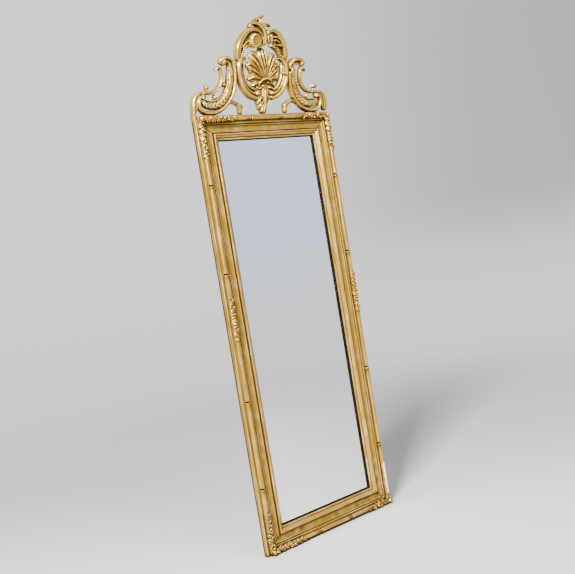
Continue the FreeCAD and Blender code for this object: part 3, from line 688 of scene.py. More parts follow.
def sprig(carving, member, start, end, sizes, seed, blooms):
    """Leaves by turns on either side from start to end of a member, and blossoms.

    The leaves get smaller towards the end and leave gaps between them; beside each
    blossom lie a smaller one and two berries.
    """
    random = np.random.default_rng(seed)
    way = 1 if end > start else -1
    reach = abs(end - start)
    travelled, hand = 3.0, 1
    while travelled < reach - 11.0:
        part = travelled / reach
        size = (18.0 - 4.5 * part) * random.uniform(0.85, 1.15)
        lean = hand * random.uniform(0.45, 0.95)
        heading = lean if way > 0 else math.pi - lean
        if all(abs(travelled - reach * bloom) > 8.0 for bloom in blooms):
            place = (member, start + way * travelled, hand * 0.4)
            blade(carving, place, heading, size, sizes)
        if random.uniform() < 0.3:
            carving.add(berry((member, start + way * (travelled + 3.5), -hand * 3.8), 2.0,
                              sizes))
        travelled += random.uniform(7.5, 9.5)
        hand = -hand
    tip = 0.0 if way > 0 else math.pi
    blade(carving, (member, end - way * 12.0, 0.0), tip, 12.0, sizes, width=0.3)
    for index, bloom in enumerate(blooms):
        at = start + way * reach * bloom
        blossom(carving, (member, at, random.uniform(-1.0, 1.0)), 21.0, sizes, seed + index)
        beside = random.choice((-1, 1))
        blossom(carving, (member, at + way * 15.0, beside * 2.5), 13.0, sizes, seed + 5)
        for hand in (-1, 1):
            carving.add(berry((member, at + way * 9.0 * hand, -beside * 5.2), 2.8, sizes))


# ------------------------------------------------------------------- crest carving
def on_crest(x, s, n, sizes):
    """Row-frame points from a place on the crest's leaning back and a height above it."""
    lean = sizes.crest_lean
    y = BACK - sizes.crest_depth / MM - s * math.sin(lean) - n * math.cos(lean)
    z = HEIGHT + s * math.cos(lean) - n * math.sin(lean)
    return np.stack(np.broadcast_arrays(x, y, z), -1)


def strand(points, sizes, side=1, rounding=2.2, dish=0.0, grooves=(), folds=0.0, bite=0.3,
           lean=0.8, scallop=0.0, bank=0.0, ribs=0, crimp=0.6):
    """Carved band along a smooth line of (x, s, half width, height).

    Its section is a flat back and a front |a|**rounding + (n / height)**rounding = 1,
    where a goes from -1 to 1 across.  A dish sinks the middle, each groove (a, width,
    share) cuts a line along it, and folds cross it every so many millimetres like
    overlapping leaves: each rises slowly and drops by the bite.  Scallops swell the
    outline with the folds, bank raises one edge, and both ends are round.  Ribs part
    the front into that many hollow flutes, whose far ends stand out by the crimp.
    """
    travel = np.linalg.norm(np.diff(np.asarray(points, float)[:, :2], axis=0), axis=1).sum()
    line, at = smooth_line(points, int(np.clip(travel / 1.0, 30, 240)))
    x, s, half, height = (column[:, None] for column in line.T)
    run = np.gradient(line[:, :2], axis=0)
    run /= np.linalg.norm(run, axis=1, keepdims=True)
    from_end = np.minimum(at, at[-1] - at)[:, None]
    closing = np.clip(from_end / np.maximum(half, 0.8), 0.0, 1.0)
    closing = np.sqrt(np.maximum(1 - (1 - closing) ** 2, 0.0004))

    columns = 58 if ribs else 32
    front = -np.cos(np.linspace(0, np.pi, columns))[None, :]
    across = np.append(front, np.linspace(1, -1, 7)[None, 1:-1], axis=1)
    relief = np.maximum(1 - np.abs(front) ** rounding, 0.0) ** (1 / rounding)
    relief = relief * (1 - dish * np.maximum(1 - (front / 0.72) ** 2, 0.0))
    for centre, width, share in grooves:
        relief = relief * (1 - share * np.exp(-((front - centre) / width) ** 2))
    if folds:
        turn = at[:, None] / folds + 0.3 * np.sin(at[:, None] / 17.0)
        phase = turn + lean * np.abs(front)
        relief = relief * (1 - bite * (1 - (phase - np.floor(phase)) ** 0.7))
        outline = turn + lean
        half = half * (1 + scallop * (outline - np.floor(outline) - 0.5))
    reach = 0.0
    if ribs:
        flute = np.abs(np.sin(0.5 * np.pi * ribs * (across + 1)))
        opened = (at / at[-1])[:, None]
        reach = crimp * half * flute / ribs * opened**3
        relief = relief * (1 - 0.36 * flute[:, :columns] * opened**0.5)
    top = height * relief * closing**0.5 + bank * front * closing
    under = np.zeros((len(top), across.shape[1] - columns))
    width = half * closing * across
    return on_crest(side * (x - run[:, 1:] * width + run[:, :1] * reach),
                    s + run[:, :1] * width + run[:, 1:] * reach,
                    np.concatenate((np.maximum(top, 0.05), under), axis=1), sizes)


def boss(x, s, radius, height, sizes, side=1, dish=0.0, squeeze=1.0, tilt=0.0, full=2.0):
    """Round knob: a dome over a flat back, its face sunk by the dish inside a rolled rim.

    The dome is (1 - part**full) ** (1 / full), so a larger full gives a flatter face.
    Rows run from the middle of the face out to the rim, down, and in under the back.
    """
    part = np.linspace(0.02, 1, 22)
    reach = np.concatenate((part, np.ones(3), np.linspace(0.97, 0.02, 5)))[:, None]
    dome = np.maximum(1 - part**full, 0.0) ** (1 / full)
    dome = dome * (1 - dish * np.maximum(1 - (part / 0.72) ** 2, 0.0) ** 0.6)
    rise = np.concatenate((dome * height, np.zeros(8)))[:, None]
    turn = np.linspace(0, 2 * np.pi, 41)[None, :-1]
    across = radius * reach * np.cos(turn)
    up = radius * squeeze * reach * np.sin(turn)
    slope = tilt * across * (rise > 0)
    return on_crest(side * (x + across), s + up, np.maximum(rise + slope, 0.0), sizes)


def carve(strands=(), bosses=(), sizes=None, side=1, uneven=0.25, seed=3):
    """One carving from strands (points, settings) and bosses (place, settings)."""
    carving = Carving()
    for number, (points, settings) in enumerate(strands):
        carving.add(strand(points, sizes, side, **settings), uneven, seed + number)
    for number, (place, settings) in enumerate(bosses):
        carving.add(boss(*place, sizes, side, **settings), uneven * 0.6, seed + 50 + number)
    return carving


SIDES = {"left": -1, "right": 1}
OUTER_BAND = (
    (149, 142, 3, 11), (150, 151, 6, 15), (140, 159, 7.5, 17), (126, 160.5, 7.5, 18),
    (113, 154, 7.5, 18), (105.5, 142, 7.3, 18), (103, 126, 7, 18), (102.5, 109, 7, 18),
    (103, 92, 7, 18), (106, 75, 7, 18), (112, 59, 7, 18), (122, 44, 7, 17),
    (135, 31, 7, 17), (151, 19, 7, 16), (168, 11.5, 7.5, 16), (186, 9, 8, 16),
    (206, 10.5, 8, 16), (221, 19, 7, 15), (228, 32, 6.5, 15), (226, 46, 6, 14),
    (218, 56, 5, 14), (207, 57, 4, 13), (203, 50, 2.5, 10),
)
LEAF_BODY = (
    (128, 152, 3, 12), (120, 144, 6.5, 14.5), (116.5, 131, 8, 16), (116, 115, 9, 16.5),
    (117, 98, 10, 16.5), (120.5, 81, 11, 16.5), (127, 65, 12, 17), (138, 50, 12.5, 17),
    (154, 37, 12.5, 17), (172, 30.5, 12, 16.5), (190, 29.5, 11.5, 16), (205, 33, 10, 15),
    (215, 41, 7, 13),
)
INNER_RIM = (
    (203, 45, 2.6, 12), (188, 42.5, 3, 13), (171, 44, 3.2, 14), (156, 49.5, 3.2, 14),
    (144, 59, 3.4, 14), (135.5, 72, 3.2, 14), (130, 87, 3, 14), (127, 104, 2.6, 13),
    (125.5, 120, 2.6, 12), (125, 134, 2.2, 11),
)
LEFT_CURL_LEAF = ((123, 133, 3, 12), (121, 142, 4.5, 15), (126, 150, 4.5, 15), (135, 152, 3.5, 14))
RIGHT_CURL = (
    (104, 128, 5, 15), (106.5, 144, 6.5, 17), (117, 155, 7.5, 18), (132, 160, 8, 18),
    (147, 158, 8.5, 17), (156, 150, 8, 15), (155, 143, 5, 12),
)
RIGHT_CURL_FOLD = ((120, 131, 3, 13), (121, 142, 4, 14), (130, 149, 4.5, 15), (143, 148, 4, 14))

INNER_C = (
    (168, 125, 2.2, 9), (163, 131, 4.8, 12), (153.5, 134, 5.8, 13), (148, 127, 5.6, 13),
    (146, 114, 5.6, 13), (147, 100, 5.8, 13), (152, 87, 6, 13), (162, 75, 6, 13),
    (176, 67.5, 5.6, 13), (191, 64.5, 5.2, 13), (206, 65, 5.2, 13), (219, 62, 4.5, 12),
)
CORNER_OUTER = (
    (208, 63, 3, 10), (224, 63, 6.5, 14), (237, 55.5, 8, 15), (244, 43, 8, 16),
    (246.5, 28, 7.6, 16), (246.5, 15, 7, 15),
)
CORNER_END = ((246, 6, 6, 12),)
CORNER_TIP_ON_FRAME = ((247, 3, 7.2, 14), (245.5, -9, 6.6, 12), (241, -20, 3, 9))
CORNER_INNER = (
    (216, 56, 3, 10), (226, 53, 5, 13), (232, 44, 5.5, 13), (235, 31, 5.4, 13),
    (238, 18, 4.6, 12), (242, 8, 3.5, 10),
)
FOOT = (
    (153, 20, 3.5, 10), (140, 28.5, 5.5, 13), (126, 35, 5.6, 14), (112, 38, 6, 14),
    (99, 35.5, 6.5, 14), (90, 28, 7, 14), (85.5, 18, 7.6, 14), (84.5, 9, 8.2, 14),
    (84.5, 2, 9, 14),
)
FOOT_CURL = ((94, 34, 3, 13), (82, 28, 4.5, 15), (78, 19, 4, 13))


def outer_scroll(hand, sizes):
    """Outer scroll of a wing: smooth band, leaf body, thin rim and curled ends."""
    scales = {"folds": 12.0, "bite": 0.17, "lean": 1.1, "scallop": 0.06}
    strands = [
        (LEAF_BODY[:8], {"folds": 25.0, "bite": 0.13, "lean": 0.8, "scallop": 0.08}),
        (LEAF_BODY[6:], scales),
        (INNER_RIM, {"folds": 9.0, "bite": 0.15}),
    ]
    bosses = [((213, 52, 8, 17), {})]
    if hand == "left":
        strands += [(OUTER_BAND, {}), (LEFT_CURL_LEAF, {"grooves": ((0.0, 0.2, 0.3),)})]
        bosses += [((138, 150, 12, 18), {}), ((147, 154, 7, 17), {})]
    else:
        strands += [(RIGHT_CURL, {}), (OUTER_BAND[6:], {}),
                    (RIGHT_CURL_FOLD, {"grooves": ((0.0, 0.2, 0.3),)})]
        bosses += [((156, 149, 10, 18), {})]
    return carve(strands, bosses, sizes, SIDES[hand], seed=11)


def inner_scroll(hand, sizes):
    """Slender scroll inside the outer one, its knob, and the two beads that tie them."""
    strands = [(INNER_C, {"grooves": ((0.3, 0.2, 0.10),)}),
               (((199, 68, 3.5, 9), (200, 76, 3, 9)), {})]
    knob = (198, 80, 8, 12) if hand == "left" else (206, 82, 11, 12)
    bosses = [
        (knob, {} if hand == "left" else {"squeeze": 0.68}),
        ((138, 87, 7, 11), {}),
        ((147, 88, 4, 8), {}),
        ((130, 86, 4, 9), {}),
        ((171.5, 52, 6, 11), {"squeeze": 1.5}),
    ]
    return carve(strands, bosses, sizes, SIDES[hand], seed=23)


def corner_leaf(hand, sizes):
    """Leaf over the outer end of a wing; the left one runs down onto the corner."""
    end = CORNER_TIP_ON_FRAME if hand == "left" else CORNER_END
    strands = [(CORNER_OUTER + end, {"grooves": ((-0.2, 0.25, 0.08),)}), (CORNER_INNER, {})]
    return carve(strands, (), sizes, SIDES[hand], seed=37)


def tendril_foot(hand, sizes):
    """Tendril that arches from the wing and stands on the top rail."""
    strands = [(FOOT, {"grooves": ((0.3, 0.25, 0.12),)}), (FOOT_CURL, {})]
    return carve(strands, (), sizes, SIDES[hand], seed=41)


# Cartouche, seen from the front: the left and the right are not alike.
LEFT_TOP_BAND = (
    (4, 216, 3.5, 13), (-2, 228, 5, 16), (-15, 237, 5.5, 18), (-33, 240, 6.2, 19),
    (-52, 234, 7.2, 19), (-68, 220.5, 8.6, 20), (-80, 203, 9.8, 20), (-86.5, 184, 10, 20),
    (-88, 167, 8.5, 18), (-90, 152, 5, 15),
)
LEFT_HOLLOW = (
    (-18, 226, 6, 9), (-40, 224, 11, 10), (-56, 214, 13, 11), (-67, 199, 12, 11),
    (-75, 183, 10, 11), (-80, 168, 8, 11), (-83, 156, 4, 9),
)
LEFT_INNER_FOLD = (
    (-42, 205, 2.5, 12), (-53, 206, 4.5, 14), (-64, 198, 4.5, 14), (-71, 187, 3, 13),
)
LEFT_ROPE = (
    (-38, 197, 3.5, 13), (-50, 195, 4.8, 15), (-61, 189, 5, 15), (-69, 179, 5, 15),
    (-74, 168, 4.8, 15), (-76, 158, 3.5, 12),
)
CURL_ROUND_BOSS = ((5, 222, 3, 14), (6, 209, 4, 15), (0, 197, 4.5, 15), (-12, 189, 3.5, 13))
LEFT_LOW_FILL = (
    (-80, 148, 5, 10), (-82, 130, 11, 12), (-80, 110, 13, 12), (-73, 90, 14, 12),
    (-62, 73, 14, 12), (-47, 61, 13, 12), (-30, 57, 11, 12), (-18, 60, 7, 10),
)
LEFT_LOW_BAND = (
    (-57, 156, 1.8, 9), (-66, 157, 5, 14), (-77, 153, 8.5, 18), (-85, 143, 9.2, 19),
    (-87.5, 128, 8.8, 19), (-86, 110, 8.5, 19), (-80, 91, 8.5, 19), (-70, 74, 8.5, 19),
    (-56, 60, 8.5, 19), (-41, 51.5, 8.2, 18), (-26, 48, 7.5, 17), (-14, 50, 6, 15),
)
LEFT_LOW_MIDDLE = (
    (-77, 134, 2.5, 12), (-77, 117, 4, 15), (-73, 100, 4.5, 15.5), (-65, 84, 4.8, 16),
    (-53, 71, 5, 16), (-40, 63, 5.2, 17), (-28, 60.5, 5.4, 17),
)
LEFT_LOW_INNER = (
    (-70, 148, 2.4, 10), (-70, 130, 4, 12), (-68, 112, 4.4, 13), (-62, 96, 4.6, 13),
    (-53, 83, 4.8, 13.5), (-42, 75.5, 4.8, 13.5), (-29, 73, 4.4, 13), (-20, 70, 3.6, 12),
)
LEFT_HOOK = ((-58, 160, 2.5, 12), (-69, 162, 5.2, 17), (-81, 157, 6.5, 20), (-90, 148, 5, 18))
RIGHT_TOP_BAND = (
    (22, 222, 4, 14), (27, 234.5, 6, 17), (40, 240, 6.8, 18), (57, 235.5, 8, 19),
    (71, 222, 9, 19), (82, 205, 9, 19), (88, 187, 8.6, 18), (90, 170, 7.5, 17),
    (92, 157, 5, 14),
)
RIGHT_HOLLOW = (
    (35, 226, 8, 9), (50, 221, 14, 9), (62, 209, 15, 9), (72, 194, 13, 9),
    (79, 178, 10, 9), (83, 163, 5, 8),
)
RIGHT_FOLD_HIGH = ((40, 221, 3, 12), (52, 222, 4.6, 15), (65, 217, 4.4, 14), (77, 207, 2.8, 11))
RIGHT_FOLD_MIDDLE = (
    (40, 211, 3, 12), (53, 212, 4.6, 15), (65, 207.5, 4.2, 14), (75, 199, 2.2, 10),
)
RIGHT_FOLD_LOW = ((44, 199, 2.5, 11), (58, 199, 3.4, 13), (72, 198, 5.2, 16), (84, 192, 4.6, 15))
RIGHT_INNER_EDGE = (
    (30, 197, 3, 13), (43, 194.5, 5, 15), (55, 187, 5.4, 15), (63, 176, 5.2, 15),
    (68, 164, 4, 13),
)
RIGHT_CHEEK = ((64, 173, 3.4, 12), (74, 167, 5.4, 15), (85, 163, 5.6, 16), (93, 158, 3.6, 14))
ROLLED_END = ((31, 233, 8, 14), (31, 223, 11, 17), (31, 212, 11, 17), (33, 202, 8, 14))
RIGHT_LOW_FILL = (
    (82, 148, 5, 10), (85, 130, 10, 12), (84, 110, 12, 12), (78, 90, 13, 12),
    (67, 73, 14, 12), (52, 61, 13, 12), (36, 57, 11, 12), (24, 60, 7, 10),
)
RIGHT_LOW_BAND = (
    (59, 162, 1.8, 9), (69, 160.5, 5, 14), (80, 155, 8, 18), (87.5, 144, 8.6, 19),
    (90, 128, 8, 19), (89, 110, 8, 19), (84, 91, 8.5, 19), (75, 74, 8.5, 19),
    (62, 60.5, 8.5, 19), (48, 52.5, 8.2, 18), (35, 49, 7.5, 17), (23, 52, 6, 15),
)
RIGHT_LOW_MIDDLE = (
    (80, 137, 2.5, 12), (80.5, 119, 4, 15), (77, 101, 4.5, 15.5), (69, 85, 4.8, 16),
    (58, 71.5, 5, 16), (45, 63.5, 5.2, 17), (33, 60.5, 5.4, 17),
)
RIGHT_LOW_INNER = (
    (74, 150, 2.4, 10), (73, 132, 4, 12), (71.5, 114, 4.4, 13), (66, 97, 4.6, 13),
    (58, 84, 4.8, 13), (48, 75.5, 4.6, 13), (37, 71, 4, 12),
)
KNOT = ((68, 122, 4, 16), (77, 118.5, 5.5, 21), (87, 112, 5.5, 21), (94, 103, 3.5, 16))


def cartouche_left_upper(sizes):
    """Upper left scroll: smooth band over a hollow, a round boss and a beaded edge."""
    strands = (
        (LEFT_HOLLOW, {"dish": 0.35, "rounding": 3.5}),
        (LEFT_TOP_BAND, {"bank": -1.0, "dish": 0.12, "rounding": 2.6}),
        (LEFT_INNER_FOLD, {}),
        (LEFT_ROPE, {"folds": 6.0, "bite": 0.3, "lean": 0.2, "scallop": 0.2}),
        (CURL_ROUND_BOSS, {}),
    )
    return carve(strands, (((-27, 210, 20.5, 25), {"dish": 0.14, "full": 6.0}),), sizes, seed=53)


def cartouche_left_lower(sizes):
    """Lower left scroll: three ridges from the hooked leaf down to a curl."""
    strands = ((LEFT_LOW_FILL, {}), (LEFT_LOW_BAND, {}), (LEFT_LOW_MIDDLE, {}),
               (LEFT_LOW_INNER, {}), (LEFT_HOOK, {"grooves": ((0.1, 0.25, 0.15),)}))
    return carve(strands, (((-24, 61, 9.5, 21), {}),), sizes, seed=61)


def cartouche_right_upper(sizes):
    """Upper right scroll: band over a hollow crossed by leaf folds, and a rolled end."""
    strands = (
        (RIGHT_HOLLOW, {"dish": 0.4, "rounding": 3.5}),
        (RIGHT_TOP_BAND, {"bank": 1.0, "dish": 0.12, "rounding": 2.6}),
        (RIGHT_FOLD_HIGH, {}), (RIGHT_FOLD_MIDDLE, {}), (RIGHT_FOLD_LOW, {}),
        (RIGHT_INNER_EDGE, {"folds": 13.0, "bite": 0.15}),
        (RIGHT_CHEEK, {}),
        (ROLLED_END, {"dish": 0.3, "rounding": 3.0}),
    )
    return carve(strands, (), sizes, seed=71)


def cartouche_right_lower(sizes):
    """Lower right scroll: three ridges, tied by a knot."""
    strands = ((RIGHT_LOW_FILL, {}), (RIGHT_LOW_BAND, {}), (RIGHT_LOW_MIDDLE, {}),
               (RIGHT_LOW_INNER, {}), (KNOT, {"grooves": ((0.0, 0.2, 0.2),)}))
    return carve(strands, (((30, 62, 9, 21), {}),), sizes, seed=83)


# Lobes of the shell, each from the cup out to its tip, with its number of ribs.
SHELL_LOBES = (
    (2, ((8, 94, 4, 10), (-11, 91, 8, 13), (-26, 88.5, 9.5, 14), (-37, 82.5, 7, 10))),
    (2, ((8, 98, 4, 11), (-14, 104, 10, 14), (-34, 106.5, 13, 15), (-50, 101.5, 9.5, 10))),
    (3, ((9, 101, 4, 12), (-10, 118, 12, 15), (-29, 132, 18, 16), (-45, 139, 18, 13),
         (-55, 137.5, 13, 9))),
    (3, ((10, 103, 4, 12), (-4, 129, 13, 16), (-17, 151, 19, 17), (-31, 167, 20, 14),
         (-43, 173, 14, 9))),
    (2, ((17, 94, 4, 10), (30, 90.5, 7, 13), (39, 86, 7.5, 12), (46, 80, 5.5, 8))),
    (2, ((17, 98, 4, 11), (33, 103, 10, 14), (47, 104.5, 12, 14), (59, 100.5, 8, 9))),
    (3, ((16, 101, 4, 12), (31, 118, 11, 15), (47, 131, 16, 15), (59, 138, 14, 11),
         (66, 137, 9, 8))),
    (3, ((14, 103, 4, 12), (22, 129, 12, 16), (32, 151, 18, 16), (42, 166, 17, 13),
         (50, 171, 11, 9))),
    (4, ((12, 103, 5, 13), (8, 128, 14, 18), (3, 152, 20, 20), (0, 174, 23, 17),
         (0, 189, 18, 12))),
)
SHELL_LIP = (
    (-16, 82, 3, 11), (-10, 93, 4, 14), (1, 101, 4.6, 16), (14, 103, 4.6, 16),
    (27, 98.5, 4.2, 15), (36, 88, 3, 12),
)
SHELL_CURLS = (
    ((-24, 80, 3.4, 12), (-13, 75, 5, 14), (-5, 80, 4.5, 14)),
    ((22, 80, 3.6, 12), (33, 76, 5, 14), (40, 70, 3.6, 11)),
)


def shell(sizes):
    """The fan: fluted lobes that overlap, and the cup they spring from."""
    strands = [(lobe, {"ribs": ribs, "rounding": 2.6}) for ribs, lobe in SHELL_LOBES]
    strands.append((SHELL_LIP, {}))
    strands += [(curl, {}) for curl in SHELL_CURLS]
    cup = ((11, 88, 23, 8), {"dish": 0.4, "squeeze": 0.62, "full": 3.0})
    return carve(strands, (cup,), sizes, seed=97)


TOP_LEAF = (
    (9, 196, 6, 13), (13, 213, 7.5, 17), (12, 230, 8.8, 18), (5, 244, 9.5, 19),
    (-9, 254.5, 8.8, 18), (-25, 258.5, 6.5, 16), (-38, 255.5, 4.5, 14), (-46, 247, 2, 10),
)
TOP_LEAF_UNDER = ((-2, 241, 5, 13), (-18, 243, 5.2, 15), (-33, 245, 5, 15), (-45, 249, 2.8, 11))
TOP_BLADE = ((-27, 266, 1.8, 11), (-15, 270, 4.6, 15), (0, 275, 5.2, 16), (15, 282, 1.8, 12))
TOP_BLADE_STALK = ((-2, 250, 6, 16), (-5, 262, 5.5, 17), (-6, 272, 4.5, 16))
TOP_SIDE = ((4, 243, 5, 15), (11, 252.5, 6.2, 16), (22, 256, 5.8, 15), (37, 251, 2.2, 10))


def top_leaf(sizes):
    """Leaf on top of the crest: a bent stem, a hooked leaf, a blade and a side leaf."""
    vein = {"grooves": ((0.0, 0.22, 0.16),)}
    strands = ((TOP_LEAF, {"grooves": ((-0.2, 0.2, 0.15),)}),
               (TOP_LEAF_UNDER, vein), (TOP_BLADE, vein), (TOP_BLADE_STALK, {}),
               (TOP_SIDE, vein))
    return carve(strands, (), sizes, seed=101)


STEM = (
    (7, 82, 12, 13), (6, 66, 11.5, 16), (4, 48, 10.5, 18), (2.5, 30, 10, 18),
    (-1, 13, 13, 18), (-3, 2, 17, 18),
)
STEM_LEAF = ((-1, 54, 4, 16), (-12, 49, 6.5, 19), (-20, 39, 6.5, 18), (-21, 28, 4, 13))
STEM_LEAF_LOW = ((2, 40, 4, 16), (-9, 34, 6, 19), (-16, 24, 6, 17), (-13, 14, 4, 12))
STEM_CURL_TOP = ((-6, 84, 4, 14), (4, 79, 6, 18), (11, 68, 6, 18), (11, 55, 4, 16))
STEM_CURL_RIGHT = ((6, 62, 4, 16), (15, 54, 5.5, 18), (19, 42, 5, 16), (14, 32, 3.5, 12))


def stem(sizes):
    """Stem under the shell, with acanthus leaves turned out from it."""
    vein = {"grooves": ((0.0, 0.22, 0.18),)}
    strands = ((STEM, {"grooves": ((-0.35, 0.16, 0.12), (0.3, 0.16, 0.12))}),
               (STEM_LEAF, vein), (STEM_LEAF_LOW, vein), (STEM_CURL_TOP, vein),
               (STEM_CURL_RIGHT, vein))
    return carve(strands, (), sizes, seed=113)


# ----------------------------------------------------------------------- operators
def gilt(scene):
    """The gilding every carved piece wears, made the first time."""
    return bpy.data.materials.get("worn_gilding") or gilding(scene.mirror_colours)


def repaint(material, *names):
    """Give CAD nodes that stay in sight a better material."""
    for name in names:
        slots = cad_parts[name].material_slots
        if not slots:
            raise RuntimeError(f"{name} has no material slot")
        for material_slot in slots:
            material_slot.material = material


class MIRROR_OT_moulding(bpy.types.Operator):
    """Carve the four moulded members of the frame"""

    bl_idname = "mirror.moulding"
    bl_label = "Moulded members"

    def execute(self, context):
        scene = context.scene
        for member in TIES:
            moulded_member(member, scene.mirror_sizes).make(
                f"{member}_moulding", gilt(scene), member)
        return {"FINISHED"}


class MIRROR_OT_corner_garlands(bpy.types.Operator):
    """Lay the garlands round the four corners"""

    bl_idname = "mirror.corner_garlands"
    bl_label = "Corner garlands"

    def execute(self, context):
        scene = context.scene
        sizes = scene.mirror_sizes
        edge = sizes.half_round_in / MM
        right, top = HALF_WIDTH - edge, HEIGHT - edge
        arms = {
            "corner_ornament_top_left": (
                ("top_rail", -right, -right + 126, (0.0, 0.62)),
                ("left_stile", top, top - 114, (0.55, 0.72))),
            "corner_ornament_top_right": (
                ("top_rail", right, right - 107, (0.04, 0.42, 0.7)),
                ("right_stile", top, top - 112, (0.45, 0.7))),
            "corner_ornament_bottom_left": (
                ("bottom_rail", -right, -right + 126, (0.08, 0.6)),
                ("left_stile", edge, edge + 118, (0.1, 0.58))),
            "corner_ornament_bottom_right": (
                ("bottom_rail", right, right - 98, (0.05, 0.55)),
                ("right_stile", edge, edge + 22, ())),
        }
        for seed, (name, runs) in enumerate(arms.items()):
            carving = Carving()
            corner_knob = berry((runs[0][0], runs[0][1], 0.0), 6.0, sizes, tall=1.1)
            # The corner knob gets painted shade.
            carving.add(corner_knob, soiled=0.8)
            for number, (member, start, end, blooms) in enumerate(runs):
                sprig(carving, member, start, end, sizes, 10 * seed + number, blooms)
            carving.make(f"{name}_garland", gilt(scene), name)
        return {"FINISHED"}


class MIRROR_OT_side_garlands(bpy.types.Operator):
    """Lay a garland on the middle of each stile"""

    bl_idname = "mirror.side_garlands"
    bl_label = "Side garlands"

    def execute(self, context):
        scene = context.scene
        sizes = scene.mirror_sizes
        for seed, hand in enumerate(("left", "right"), start=60):
            low, high = (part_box(f"side_ornament_{hand}")[end].z / MM for end in (0, 1))
            middle = low * 0.45 + high * 0.55
            carving = Carving()
            sprig(carving, f"{hand}_stile", middle, high, sizes, seed, (0.1, 0.45))
            sprig(carving, f"{hand}_stile", middle, low, sizes, seed + 7, (0.3,))
            carving.make(f"side_garland_{hand}", gilt(scene), f"side_ornament_{hand}")
        return {"FINISHED"}


class MIRROR_OT_wings(bpy.types.Operator):
    """Carve the scrolls, leaves and tendrils of both wings of the crest"""

    bl_idname = "mirror.wings"
    bl_label = "Wings of the crest"

    def execute(self, context):
        scene = context.scene
        makers = {"outer_scroll": outer_scroll, "inner_scroll": inner_scroll,
                  "corner_leaf": corner_leaf, "foot": tendril_foot}
        for hand in ("left", "right"):
            for piece, maker in makers.items():
                maker(hand, scene.mirror_sizes).make(
                    f"{piece}_carving_{hand}", gilt(scene), f"crest_{piece}_{hand}")
        return {"FINISHED"}


class MIRROR_OT_cartouche(bpy.types.Operator):
    """Carve the four scrolls round the shell"""

    bl_idname = "mirror.cartouche"
    bl_label = "Cartouche"

    def execute(self, context):
        scene = context.scene
        for maker in (cartouche_left_upper, cartouche_left_lower, cartouche_right_upper,
                      cartouche_right_lower):
            node = maker.__name__
            maker(scene.mirror_sizes).make(f"{node}_carving", gilt(scene), node)
        return {"FINISHED"}


class MIRROR_OT_middle(bpy.types.Operator):
    """Carve the shell, the stem under it and the leaf on top"""

    bl_idname = "mirror.middle"
    bl_label = "Shell, stem and top leaf"

    def execute(self, context):
        scene = context.scene
        for maker, node in ((shell, "crest_shell"), (stem, "crest_stem"),
                            (top_leaf, "crest_top_leaf")):
            maker(scene.mirror_sizes).make(f"{maker.__name__}_carving", gilt(scene), node)
        return {"FINISHED"}


class MIRROR_OT_glass(bpy.types.Operator):
    """Silver the glass"""

    bl_idname = "mirror.glass"
    bl_label = "Silvered glass"

    def execute(self, context):
        repaint(silvered_glass(context.scene.mirror_colours), "mirror_glass")
        return {"FINISHED"}


class MIRROR_OT_back(bpy.types.Operator):
    """Finish the wood and metal of the back"""

    bl_idname = "mirror.back"
    bl_label = "Back boards and fixings"

    def execute(self, context):
        colours = context.scene.mirror_colours
        repaint(pine_board(colours),
                "backboard_left", "backboard_right", "corner_keys", "glass_blocks")
        repaint(aged_metal("dark_iron", colours.iron, colours.rust, 0.7, 0.6),
                "crest_strap")
        repaint(aged_metal("dull_steel", colours.steel, colours.dull_steel, 0.95, 0.42),
                "backboard_brads", "crest_screws", "hanger_screws")
        repaint(aged_metal("aged_brass", colours.brass, colours.dull_brass, 0.95, 0.36),
                "hanger_plate_left", "hanger_plate_right", "hanger_ring_left",
                "hanger_ring_right")
        return {"FINISHED"}


def softbox(name, place, size, power, colour):
    """An oblong soft lamp at a place, turned to the middle of the mirror."""
    lamp = bpy.data.lights.new(name, "AREA")
    lamp.shape = "RECTANGLE"
    lamp.size, lamp.size_y = size
    lamp.energy = power
    lamp.color = colour
    holder = bpy.data.objects.new(name, lamp)
    holder.location = place
    holder.rotation_euler = (
        Vector(LAMPS_AIM) - Vector(place)).to_track_quat("-Z", "Y").to_euler()
    bpy.context.scene.collection.objects.link(holder)


def studio_floor(colours):
    """Round floor whose finish fades out, so that it meets the room with no edge."""
    rings, around = 40, 96
    reach = (np.linspace(0.0, 1.0, rings) ** 1.5 * 9.0)[:, None]
    turn = np.linspace(0, 2 * np.pi, around + 1)[None, :-1]
    across, along = reach * np.cos(turn), reach * np.sin(turn)
    points = np.stack((across, along, np.zeros_like(across)), -1)
    index = np.arange(rings * around).reshape(rings, around)
    beside = np.roll(index, -1, axis=1)
    faces = np.stack((index[:-1], index[1:], beside[1:], beside[:-1]), -1).reshape(-1, 4)
    mesh = bpy.data.meshes.new("floor")
    mesh.from_pydata(points.reshape(-1, 3).tolist(), [], faces.tolist())
    finish = Finish("pale_floor")
    distance = finish.node("ShaderNodeVectorMath", {"operation": "LENGTH"},
                           {0: finish.place}, "Value")
    mesh.materials.append(finish.finished(
        Base_Color=finish.mixed(finish.noise(0.6), colours.floor, shaded(colours.floor, 0.98)),
        Roughness=0.55, Alpha=1.0 - distance.stepped(0.9, 4.2)))
    floor = bpy.data.objects.new("floor", mesh)
    bpy.context.scene.collection.objects.link(floor)


